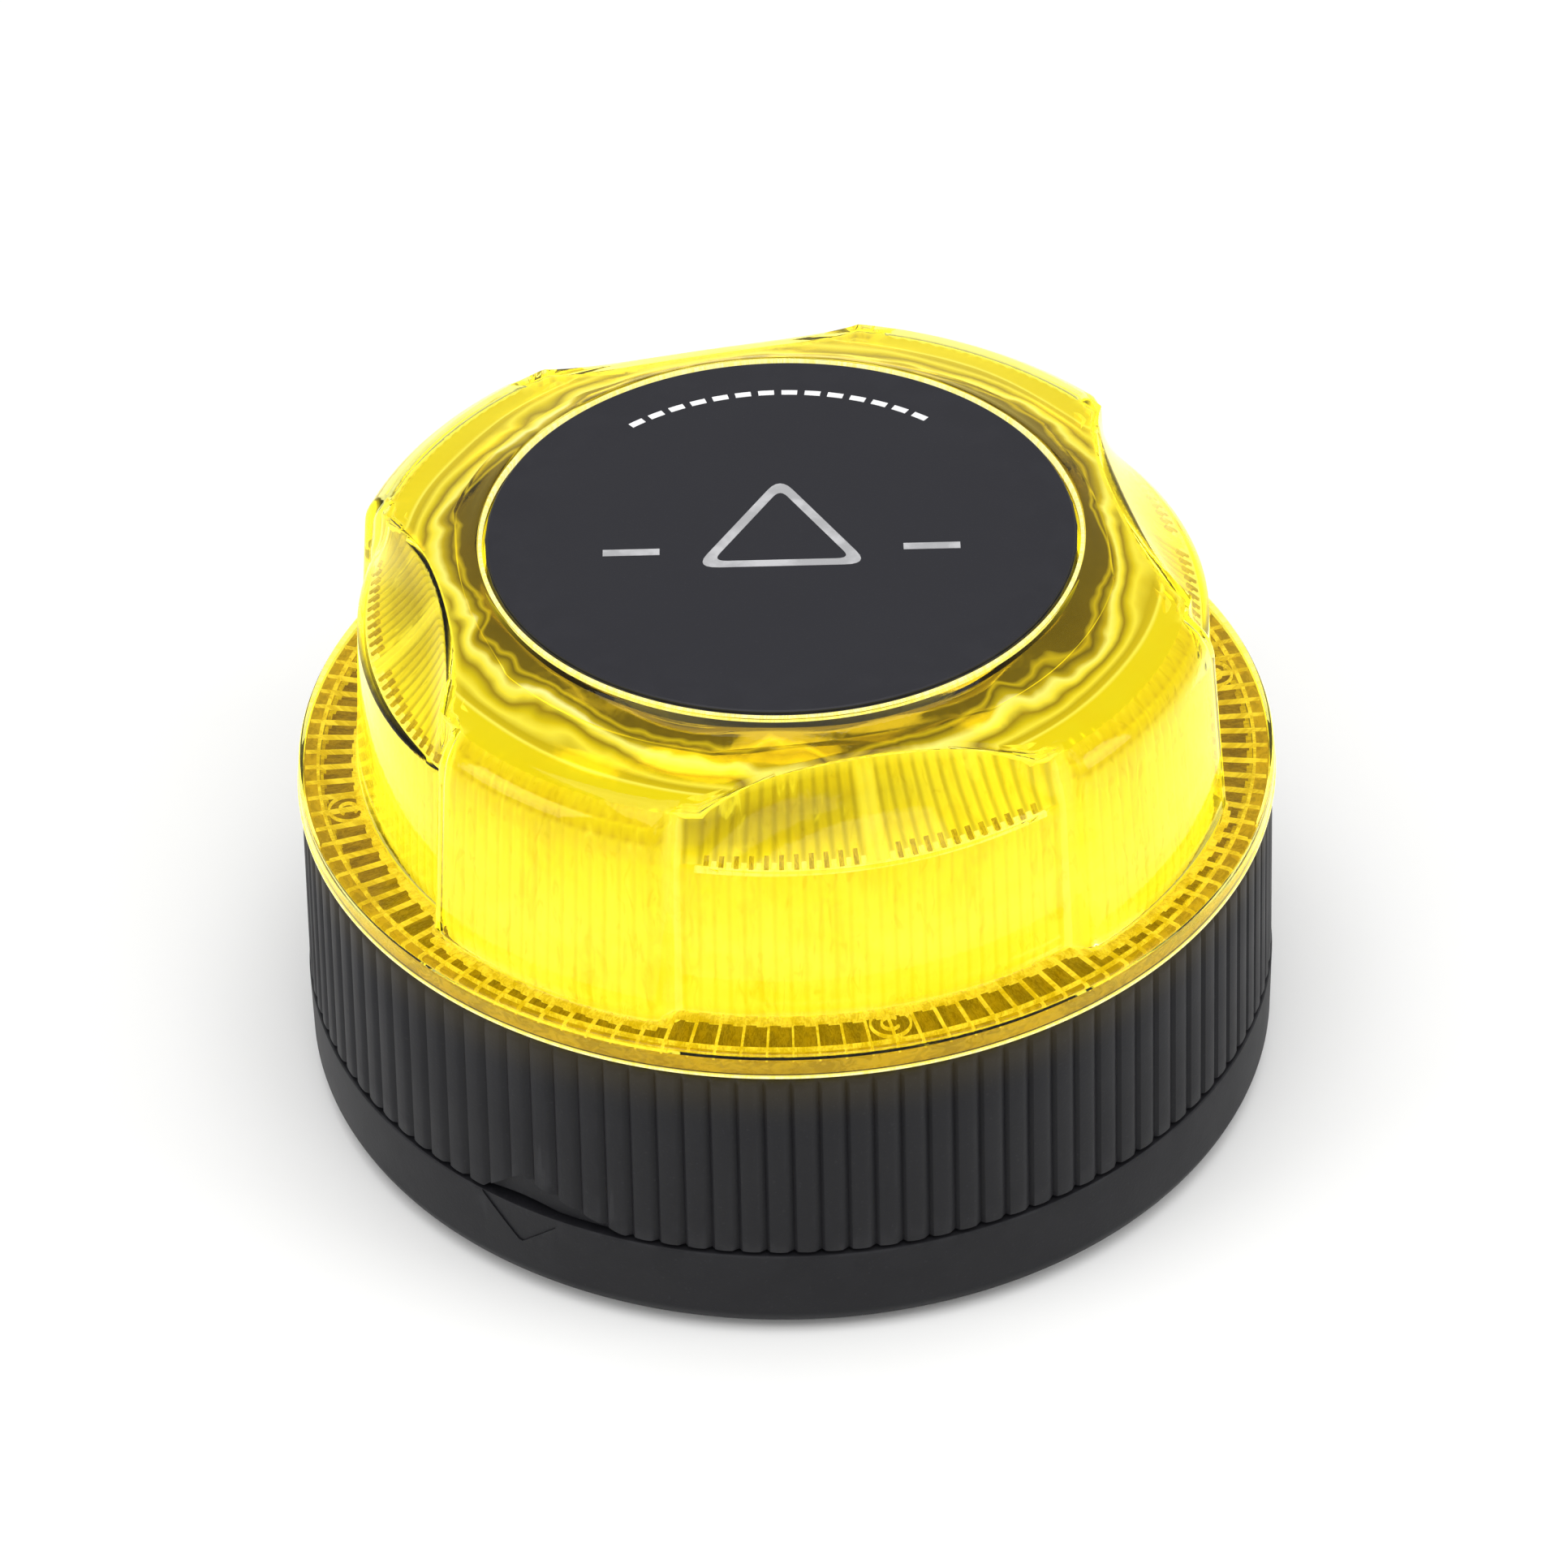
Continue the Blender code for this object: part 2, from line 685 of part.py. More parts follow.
# Button and its switch --------------------------------------------------------------------------


def make_button(parent):
    """The press cap with its hollow skirt, post and three retaining hooks, and its face film."""
    outline = [
        (0.0, CAP_TOP), (BUTTON_RADIUS, CAP_TOP), (BUTTON_RADIUS, CAP_SKIRT_FOOT),
        (CAP_SKIRT_BORE, CAP_SKIRT_FOOT), (CAP_SKIRT_BORE, CAP_PLATE_BASE),
        (CAP_POST_RADIUS, CAP_PLATE_BASE), (CAP_POST_RADIUS, CAP_POST_FOOT), (0.0, CAP_POST_FOOT),
    ]
    cap = place("button_cap", turned(outline, 48), satin_black, parent)
    hooks = [turn(extruded(HOOK_OUTLINE, -HOOK_HALF_WIDTH, HOOK_HALF_WIDTH), bearing)
             for bearing in ring_points(HOOK_COUNT, HOOK_BEARING)]
    boolean(cap, place("hook_tool", merged(hooks), satin_black, parent), "UNION")
    edge = BUTTON_RADIUS - FILM_MARGIN
    base = CAP_TOP + FILM_GAP
    film = [(0.0, TOP_HEIGHT), (edge, TOP_HEIGHT), (edge, base), (0.0, base)]
    place("face_film", turned(film, 48), satin_black, parent)


def make_switch(fixed, plunger_group):
    """The long-travel push switch under the button, its moving plunger and the return spring."""
    base = TOP_BOARD_BASE + BOARD_THICKNESS + FIT_GAP
    side = (-SWITCH_HALF, SWITCH_HALF)
    shape = block(side, side, (base, base + SWITCH_HEIGHT), 0.3)
    body = place("switch_body", shape, chip_black, fixed)
    well_top = base + SWITCH_HEIGHT + CUT_PAST
    well = rod(SWITCH_WELL_RADIUS, base + SWITCH_WELL_FLOOR, well_top, steps=16)
    boolean(body, place("plunger_well_tool", well, steel, fixed), "DIFFERENCE")
    foot = base + PLUNGER_FOOT
    plunger = [(0.0, PLUNGER_TOP), (PLUNGER_TIP_RADIUS, PLUNGER_TOP),
               (PLUNGER_RADIUS, PLUNGER_TOP - 0.2), (PLUNGER_RADIUS, foot), (0.0, foot)]
    place("switch_plunger", turned(plunger, 16), white_plastic, plunger_group)
    spring = coil(SPRING_RADIUS, SPRING_RADIUS, base, SPRING_TOP, SPRING_TURNS, SPRING_WIRE, 10, 4)
    place("button_spring", spring, steel, fixed)


def make_button_seal(parent):
    """The silicone ring on the lens's shelf, under the button's skirt."""
    ring = tube(SEAL_INNER, SEAL_OUTER, SHELF_TOP + FIT_GAP, SEAL_TOP, steps=40)
    place("button_seal", ring, silicone, parent)


# Boards and lamp --------------------------------------------------------------------------------


def drilled_board(name, inner, outer, base, hole_places, parent):
    """A round board, with clearance holes for its screws."""
    top = base + BOARD_THICKNESS
    if inner:
        bm = tube(inner, outer, base, top, steps=36)
    else:
        bm = rod(outer, base, top, steps=36)
    board = place(name, bm, board_green, parent)
    if hole_places:
        holes = [rod(SCREW_CLEARANCE, base - CUT_PAST, top + CUT_PAST, xy, 10) for xy in hole_places]
        boolean(board, place(f"{name}_hole_tool", merged(holes), steel, parent), "DIFFERENCE")


def make_boards(parent):
    """The main board, the ring of lamps above it, the switch board and what is soldered to them."""
    screw_places = [around(bearing, SPACER_CIRCLE) for bearing in ring_points(SPACER_COUNT)]
    drilled_board("main_board", 0.0, MAIN_BOARD_RADIUS, MAIN_BOARD_BASE, screw_places, parent)
    drilled_board("led_board", LED_BOARD_INNER, LED_BOARD_OUTER, LED_BOARD_BASE, screw_places, parent)
    drilled_board("switch_board", 0.0, TOP_BOARD_RADIUS, TOP_BOARD_BASE, [], parent)
    deck = MAIN_BOARD_BASE + BOARD_THICKNESS + SOLDER_GAP
    place("modem_can", block((-13, 5), (-10, 10), (deck, deck + 2.4), 0.4), nickel, parent)
    place("sim_chip", block((8, 14), (-8, -3), (deck, deck + 0.9), 0.15), chip_black, parent)
    place("controller_chip", block((8, 15), (1, 8), (deck, deck + 1.2), 0.2), chip_black, parent)
    antenna_base = TOP_BOARD_BASE + BOARD_THICKNESS + SOLDER_GAP
    patch = block((-18, -8), (-5, 5), (antenna_base, antenna_base + 3.2), 0.3)
    place("position_antenna", patch, ceramic, parent)


def make_lamps(parent):
    """Twelve lamps round the lamp board, each a stubby package with a sloped rim."""
    base = LED_BOARD_BASE + BOARD_THICKNESS + SOLDER_GAP
    for number, bearing in enumerate(ring_points(LED_COUNT, WINDOW_BEARING), start=1):
        across = (-LED_HALF, LED_HALF)
        along = (-LED_CIRCLE - LED_HALF, -LED_CIRCLE + LED_HALF)
        bm = block(across, along, (base, base + LED_HEIGHT))
        top = [face for face in bm.faces if face.normal.z > 0.5]
        bmesh.ops.inset_region(bm, faces=top, thickness=LED_RIM)
        bmesh.ops.translate(bm, vec=(0, 0, -LED_DISH), verts=list({v for f in top for v in f.verts}))
        place(f"lamp_{number:02d}", turn(bm, bearing), white_plastic, parent)


def make_reflector(parent):
    """The metallised dish that throws the lamps' light sideways and carries the switch board."""
    place("reflector", turned(REFLECTOR_OUTLINE, 36), mirror_metal, parent)


def make_screws(parent):
    """Spacers and screws that stack the boards on the deck, and the screws that hold the lens."""
    low = MAIN_BOARD_BASE + BOARD_THICKNESS + FIT_GAP
    head_base = LED_BOARD_BASE + BOARD_THICKNESS + FIT_GAP
    for number, bearing in enumerate(ring_points(SPACER_COUNT), start=1):
        xy = around(bearing, SPACER_CIRCLE)
        spacer = tube(SCREW_CLEARANCE, POST_RADIUS, low, LED_BOARD_BASE - FIT_GAP, xy, 12)
        place(f"board_spacer_{number}", spacer, nickel, parent)
        screw = screw_outline(BOARD_SHANK, DECK_TOP - BOARD_SCREW_REACH, head_base)
        place(f"board_screw_{number}", turned(screw, 10, xy), steel, parent)
    head_top = DECK_BOTTOM - FIT_GAP
    tip = LENS_BASE - LENS_SCREW_SHORT
    screw = [(0.0, tip), (LENS_SHANK, tip), (LENS_SHANK, head_top), (SCREW_HEAD, head_top),
             (SCREW_HEAD - 0.2, head_top - LENS_HEAD_HEIGHT), (0.0, head_top - LENS_HEAD_HEIGHT)]
    for number, bearing in enumerate(ring_points(4, WINDOW_BEARING), start=1):
        xy = around(bearing, LENS_BOSS_CIRCLE)
        place(f"lens_screw_{number}", turned(screw, 10, xy), steel, parent)


def screw_outline(shank, tip, head_base):
    """Outline of a pan-head screw that points down."""
    top = head_base + SCREW_HEAD_HEIGHT
    return [(0.0, top), (SCREW_HEAD * 0.7, top), (SCREW_HEAD, head_base + 0.4),
            (SCREW_HEAD, head_base), (shank, head_base), (shank, tip), (0.0, tip)]


def make_lens_gasket(parent):
    """The flat seal between the lens's flange and the housing's rim."""
    place("lens_gasket", tube(GASKET_INNER, GASKET_OUTER, GASKET_LOW, GASKET_HIGH), silicone, parent)


# Battery bay ------------------------------------------------------------------------------------


def make_holder(parent):
    """The open-bottomed battery tray that hangs under the deck."""
    outer = block(
        (-HOLDER_HALF_LENGTH, HOLDER_HALF_LENGTH), (-HOLDER_HALF_WIDTH, HOLDER_HALF_WIDTH),
        (HOLDER_FOOT, HOLDER_TOP),
    )
    inner = block(
        (-HOLDER_HALF_LENGTH + HOLDER_WALL, HOLDER_HALF_LENGTH - HOLDER_WALL),
        (-HOLDER_HALF_WIDTH + HOLDER_WALL, HOLDER_HALF_WIDTH - HOLDER_WALL),
        (HOLDER_FOOT - CUT_PAST, HOLDER_TOP - HOLDER_WALL),
    )
    holder = place("battery_holder", outer, matte_black, parent)
    boolean(holder, place("bay_tool", inner, matte_black, parent), "DIFFERENCE")


def along_x(bm, direction, x, y, z):
    """Lay an upright bmesh along +X or -X with its foot at the given point."""
    bmesh.ops.rotate(
        bm, cent=(0, 0, 0), matrix=Matrix.Rotation(direction * math.pi / 2, 3, "Y"), verts=bm.verts
    )
    bmesh.ops.translate(bm, vec=(x, y, z), verts=bm.verts)
    return bm


def make_cells(parent):
    """Three cells laid head to tail, each between a coil contact and a stud contact."""
    half = CELL_LENGTH / 2
    wall = HOLDER_HALF_LENGTH - HOLDER_WALL
    cell = [
        (0.0, CELL_LENGTH), (2.7, CELL_LENGTH), (2.7, 49.4), (6.6, 49.4), (CELL_RADIUS, 48.8),
        (CELL_RADIUS, 0.5), (6.8, 0.0), (0.0, 0.0),
    ]
    for number in range(1, 4):
        y = CELL_PITCH * (number - 2)
        side = 1 if number % 2 else -1
        bm = along_x(turned(cell, 16), side, -side * half, y, CELL_HEIGHT)
        place(f"cell_{number}", bm, cell_wrap, parent)
        reach = wall - half - 2 * FIT_GAP
        spring = coil(*CONTACT_RADII, 0.0, reach, CONTACT_TURNS, CONTACT_WIRE, 8, 4)
        spring = along_x(spring, side, -side * (wall - FIT_GAP), y, CELL_HEIGHT)
        place(f"coil_contact_{number}", spring, nickel, parent)
        stud = [(0.0, reach), (2.0, reach), (3.2, 0.6), (5.5, 0.6), (5.5, 0.0), (0.0, 0.0)]
        stud = along_x(turned(stud, 12), -side, side * (wall - FIT_GAP), y, CELL_HEIGHT)
        place(f"stud_contact_{number}", stud, nickel, parent)


def make_leads(parent):
    """The battery leads up through the deck, and the switch board's lead down the reflector."""
    low = HOLDER_TOP + FIT_GAP
    high = MAIN_BOARD_BASE - FIT_GAP
    for name, side, look in (("lead_positive", 1, lead_red), ("lead_negative", -1, lead_black)):
        route = [(side * 9, 4, low), (side * 9, 4, low + 1.6), (side * 6, -3, high - 1.8),
                 (side * 6, -3, high)]
        lead(name, route, 0.65, look, parent)
    low = MAIN_BOARD_BASE + BOARD_THICKNESS + FIT_GAP
    high = TOP_BOARD_BASE - FIT_GAP
    route = [(6.4, -1.5, low), (6.4, -1.5, low + 6), (1, 3, low + 8), (3, 1, high - 4), (3, 1, high)]
    lead("switch_lead", route, 0.6, lead_black, parent)


# Cover and foot ---------------------------------------------------------------------------------


def make_cover(parent):
    """The twist-off cover: floor, outer skirt, threaded neck with lugs and a recess for the pad."""
    outline = [
        (0.0, COVER_FLOOR_TOP), (NECK_BORE, COVER_FLOOR_TOP), (NECK_BORE, NECK_TOP),
        (NECK_RADIUS, NECK_TOP), (NECK_RADIUS, SEAL_SEAT_HIGH), (SEAL_SEAT_RADIUS, SEAL_SEAT_HIGH),
        (SEAL_SEAT_RADIUS, SEAL_SEAT_LOW), (NECK_RADIUS, SEAL_SEAT_LOW),
        (NECK_RADIUS, COVER_FLOOR_TOP), (SKIRT_BORE, COVER_FLOOR_TOP), (SKIRT_BORE, COVER_TOP),
        (COVER_RADIUS, COVER_TOP), (COVER_RADIUS, 2.3), (COVER_RADIUS - 0.45, 1.25),
        (COVER_RADIUS - 1.5, PAD_PROUD), (RECESS_RADIUS, PAD_PROUD),
        (RECESS_RADIUS, COVER_FLOOR_BASE), (0.0, COVER_FLOOR_BASE),
    ]
    cover = place("bottom_cover", turned(outline, 60), matte_black, parent)
    lugs = []
    for middle in ring_points(LUG_COUNT, LUG_BEARING):
        line = lug_line(middle)
        span = np.linspace(middle - LUG_HALF, middle + LUG_HALF, 5)
        lugs.append(curved_bar(
            span, NECK_RADIUS - OVERLAP, HOUSING_BORE - LUG_CLEARANCE, line,
            lambda b, line=line: line(b) + LUG_HEIGHT,
        ))
    boolean(cover, place("lug_tool", merged(lugs), matte_black, parent), "UNION")


def make_cover_seal(parent):
    """The round-section seal in the neck's groove."""
    outline = []
    for angle in ring_points(6):
        out, up = math.cos(math.radians(angle)), math.sin(math.radians(angle))
        outline.append((SEAL_RING_RADIUS + SEAL_SECTION * out, SEAL_RING_HEIGHT + SEAL_SECTION * up))
    place("cover_seal", turned(outline, 48), rubber_black, parent)


def make_foot(parent):
    """Three disc magnets under a steel keeper, and the rubber pad that the flare stands on."""
    magnet_base = COVER_FLOOR_TOP + FIT_GAP
    magnet_top = magnet_base + MAGNET_HEIGHT
    for number, bearing in enumerate(ring_points(MAGNET_COUNT, 45.0), start=1):
        magnet = rod(MAGNET_RADIUS, magnet_base, magnet_top, around(bearing, MAGNET_CIRCLE), 20)
        place(f"magnet_{number}", magnet, nickel, parent)
    keeper_base = magnet_top + FIT_GAP
    keeper = tube(KEEPER_BORE, KEEPER_RADIUS, keeper_base, keeper_base + KEEPER_THICKNESS, steps=36)
    place("keeper_plate", keeper, steel, parent)
    pad_top = COVER_FLOOR_BASE - FIT_GAP
    pad = [(0.0, pad_top), (PAD_RADIUS, pad_top), (PAD_RADIUS, PAD_CHAMFER),
           (PAD_RADIUS - PAD_CHAMFER, 0.0), (0.0, 0.0)]
    place("foot_pad", turned(pad, 40), rubber_black, parent)


def main():
    """Build every piece of the road flare."""
    clear_scene()
    fixed = group("housing_group", HOUSING_FOOT)
    button = group("button_group", TOP_HEIGHT)
    plunger = group("plunger_group", PLUNGER_TOP)
    seal = group("seal_group", SEAL_RING_HEIGHT)
    cover = group("cover_group", COVER_TOP)
    make_lens(fixed)
    make_housing(fixed)
    make_lens_gasket(fixed)
    make_button(button)
    make_button_seal(fixed)
    make_switch(fixed, plunger)
    make_boards(fixed)
    make_lamps(fixed)
    make_reflector(fixed)
    make_screws(fixed)
    make_holder(fixed)
    make_cells(fixed)
    make_leads(fixed)
    make_cover(cover)
    make_cover_seal(seal)
    make_foot(cover)


main()
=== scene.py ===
"""Looks of a battery road flare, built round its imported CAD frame.

+Z up, front -Y. Sizes in the fields are millimetres, and meshes are made in metres.
Bearings are degrees round Z: 0 is the front (-Y) and they grow towards +X.
"""

import json
import logging
import math
from dataclasses import dataclass, field
from enum import Enum
from typing import Iterable, Sequence

import bmesh
import bpy
import numpy as np
from mathutils import Matrix, Vector

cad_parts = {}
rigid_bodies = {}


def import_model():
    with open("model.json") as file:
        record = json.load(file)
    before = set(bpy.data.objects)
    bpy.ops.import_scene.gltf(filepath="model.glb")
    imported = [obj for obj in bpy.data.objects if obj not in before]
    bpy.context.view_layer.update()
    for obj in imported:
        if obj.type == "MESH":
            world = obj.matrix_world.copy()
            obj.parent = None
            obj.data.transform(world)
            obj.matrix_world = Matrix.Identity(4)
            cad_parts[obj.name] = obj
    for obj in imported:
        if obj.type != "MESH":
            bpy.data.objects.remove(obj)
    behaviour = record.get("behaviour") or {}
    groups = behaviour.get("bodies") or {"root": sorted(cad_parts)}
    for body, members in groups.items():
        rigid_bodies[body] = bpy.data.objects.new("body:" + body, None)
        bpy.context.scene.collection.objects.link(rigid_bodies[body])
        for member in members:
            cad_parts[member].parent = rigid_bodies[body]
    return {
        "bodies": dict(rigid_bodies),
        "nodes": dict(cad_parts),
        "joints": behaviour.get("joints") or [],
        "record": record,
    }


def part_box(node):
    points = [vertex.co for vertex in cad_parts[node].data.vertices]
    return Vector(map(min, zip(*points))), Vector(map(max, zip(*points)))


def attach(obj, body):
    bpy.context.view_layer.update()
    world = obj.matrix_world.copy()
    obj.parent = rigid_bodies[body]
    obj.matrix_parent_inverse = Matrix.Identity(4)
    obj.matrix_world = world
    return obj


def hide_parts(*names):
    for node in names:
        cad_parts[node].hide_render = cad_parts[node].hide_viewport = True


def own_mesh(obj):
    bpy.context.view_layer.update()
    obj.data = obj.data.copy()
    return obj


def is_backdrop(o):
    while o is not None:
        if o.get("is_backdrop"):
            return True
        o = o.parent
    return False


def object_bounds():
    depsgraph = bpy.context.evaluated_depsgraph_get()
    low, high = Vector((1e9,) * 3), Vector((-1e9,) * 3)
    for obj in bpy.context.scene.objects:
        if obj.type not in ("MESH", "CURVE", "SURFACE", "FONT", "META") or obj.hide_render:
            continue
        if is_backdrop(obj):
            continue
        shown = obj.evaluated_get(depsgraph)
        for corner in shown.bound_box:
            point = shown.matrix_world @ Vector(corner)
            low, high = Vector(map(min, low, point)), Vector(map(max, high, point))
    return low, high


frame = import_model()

MM = 0.001
LOG = logging.getLogger("road_flare")
LENS_BASE = 32.0
HOUSING_RIM = 31.6
SEAM_GAP = 0.3

Colour = tuple[float, float, float]
Outline = Sequence[tuple[float, float]]
Socket = bpy.types.NodeSocket

NO_LIGHT: Colour = (0.0, 0.0, 0.0)
FRAME_LIGHT: Colour = (1.0, 0.92, 0.16)
FRAME_SHARE = 0.7


class Body(Enum):
    """The CAD bodies that pieces ride on."""

    HOUSING = "housing"
    BUTTON = "button"
    COVER = "cover"


class Zone(Enum):
    """Where a lens grid's rows lie, which sets how they are moulded inside."""

    WALL = 0
    UPPER = 1
    CROWN = 2


# Shader graphs ------------------------------------------------------------------------------------


class Graph:
    """A short way to write one shader node tree."""

    def __init__(self, tree: bpy.types.NodeTree) -> None:
        """Keep the tree that the nodes go into."""
        self.tree = tree

    def node(self, kind: str, **settings: object) -> bpy.types.Node:
        """Add one node.

        Args:
            kind: The shader node's type name.
            settings: Properties of the node and their values.

        Returns:
            The new node.
        """
        made = self.tree.nodes.new(kind)
        for name, value in settings.items():
            setattr(made, name, value)
        return made

    def plug(self, socket: Socket, value: object) -> None:
        """Link a socket to another, or set it to a plain value.

        Args:
            socket: The input to feed.
            value: An output socket, a number or a tuple.
        """
        if isinstance(value, bpy.types.NodeSocket):
            self.tree.links.new(value, socket)
        else:
            socket.default_value = value

    def maths(self, operation: str, *values: object, clamp: bool = False) -> Socket:
        """Add a Math node.

        Args:
            operation: The node's operation.
            values: Its inputs in order, each a socket or a number.
            clamp: True to keep the result between 0 and 1.

        Returns:
            The node's output.
        """
        made = self.node("ShaderNodeMath", operation=operation, use_clamp=clamp)
        for socket, value in zip(made.inputs, values):
            self.plug(socket, value)
        return made.outputs[0]

    def span(self, value: Socket, low: float, high: float,
             to: tuple[float, float] = (0.0, 1.0)) -> Socket:
        """Map a value smoothly from one span to another.

        Args:
            value: The value to map.
            low: The value that gives the first end of the new span.
            high: The value that gives its last end.
            to: The new span.

        Returns:
            The mapped value.
        """
        made = self.node("ShaderNodeMapRange", interpolation_type="SMOOTHSTEP")
        for name, part in (("Value", value), ("From Min", low), ("From Max", high),
                           ("To Min", to[0]), ("To Max", to[1])):
            self.plug(made.inputs[name], part)
        return made.outputs[0]

    def noise(self, vector: Socket, scale: float, detail: float = 3.0,
              distortion: float = 0.0) -> Socket:
        """Add a Noise texture.

        Args:
            vector: Where to read it.
            scale: Its scale.
            detail: How many finer layers it has.
            distortion: How far it is warped.

        Returns:
            Its value, about 0 to 1.
        """
        made = self.node("ShaderNodeTexNoise")
        self.plug(made.inputs["Vector"], vector)
        self.plug(made.inputs["Scale"], scale)
        self.plug(made.inputs["Detail"], detail)
        self.plug(made.inputs["Distortion"], distortion)
        return made.outputs["Fac"]

    def cells(self, vector: Socket, scale: float) -> Socket:
        """Add a Voronoi texture.

        Args:
            vector: Where to read it.
            scale: Its scale.

        Returns:
            The distance to the nearest cell's middle.
        """
        made = self.node("ShaderNodeTexVoronoi")
        self.plug(made.inputs["Vector"], vector)
        self.plug(made.inputs["Scale"], scale)
        return made.outputs["Distance"]

    def ramp(self, value: Socket, stops: Sequence[tuple[float, Colour]]) -> Socket:
        """Turn a value into a colour.

        Args:
            value: The value, from 0 to 1.
            stops: Places and the colours there.

        Returns:
            The colour.
        """
        made = self.node("ShaderNodeValToRGB")
        elements = made.color_ramp.elements
        while len(elements) < len(stops):
            elements.new(0.5)
        for element, (place, colour) in zip(elements, stops):
            element.position = place
            element.color = (*colour, 1.0)
        self.plug(made.inputs["Fac"], value)
        return made.outputs["Color"]

    def mix(self, share: object, first: object, second: object, blend: str = "MIX") -> Socket:
        """Mix two colours.

        Args:
            share: How much of the second there is.
            first: The first colour.
            second: The second colour.
            blend: How they blend.

        Returns:
            The mixed colour.
        """
        made = self.node("ShaderNodeMix", data_type="RGBA", blend_type=blend)
        for name, value in (("Factor_Float", share), ("A_Color", first), ("B_Color", second)):
            if isinstance(value, tuple) and len(value) == 3:
                value = (*value, 1.0)
            self.plug(next(s for s in made.inputs if s.identifier == name), value)
        return next(s for s in made.outputs if s.identifier == "Result_Color")

    def place(self) -> Socket:
        """The point's place in the object's own frame, in metres."""
        return self.node("ShaderNodeTexCoord").outputs["Object"]

    def parts(self, vector: Socket) -> tuple[Socket, Socket, Socket]:
        """The x, y and z of a vector."""
        made = self.node("ShaderNodeSeparateXYZ")
        self.plug(made.inputs[0], vector)
        return made.outputs[0], made.outputs[1], made.outputs[2]

    def vector(self, x: object, y: object, z: object) -> Socket:
        """A vector of three values."""
        made = self.node("ShaderNodeCombineXYZ")
        for socket, value in zip(made.inputs, (x, y, z)):
            self.plug(socket, value)
        return made.outputs[0]

    def reading(self, name: str) -> Socket:
        """A number stored on the mesh's points."""
        return self.node("ShaderNodeAttribute", attribute_name=name).outputs["Fac"]

    def use(self, group: bpy.types.NodeTree, **inputs: object) -> bpy.types.Node:
        """Place a node group.

        Args:
            group: The group's tree.
            inputs: Its inputs by name, with _ for a space.

        Returns:
            The group's node.
        """
        made = self.node("ShaderNodeGroup", node_tree=group)
        for name, value in inputs.items():
            self.plug(made.inputs[name.replace("_", " ")], value)
        return made

    def bump(self, height: Socket, strength: float, distance: float) -> Socket:
        """A normal bent by a height.

        Args:
            height: The height, from 0 to 1.
            strength: How much of it shows.
            distance: How far a height of 1 stands, in metres.

        Returns:
            The normal.
        """
        made = self.node("ShaderNodeBump")
        self.plug(made.inputs["Strength"], strength)
        self.plug(made.inputs["Distance"], distance)
        self.plug(made.inputs["Height"], height)
        return made.outputs[0]


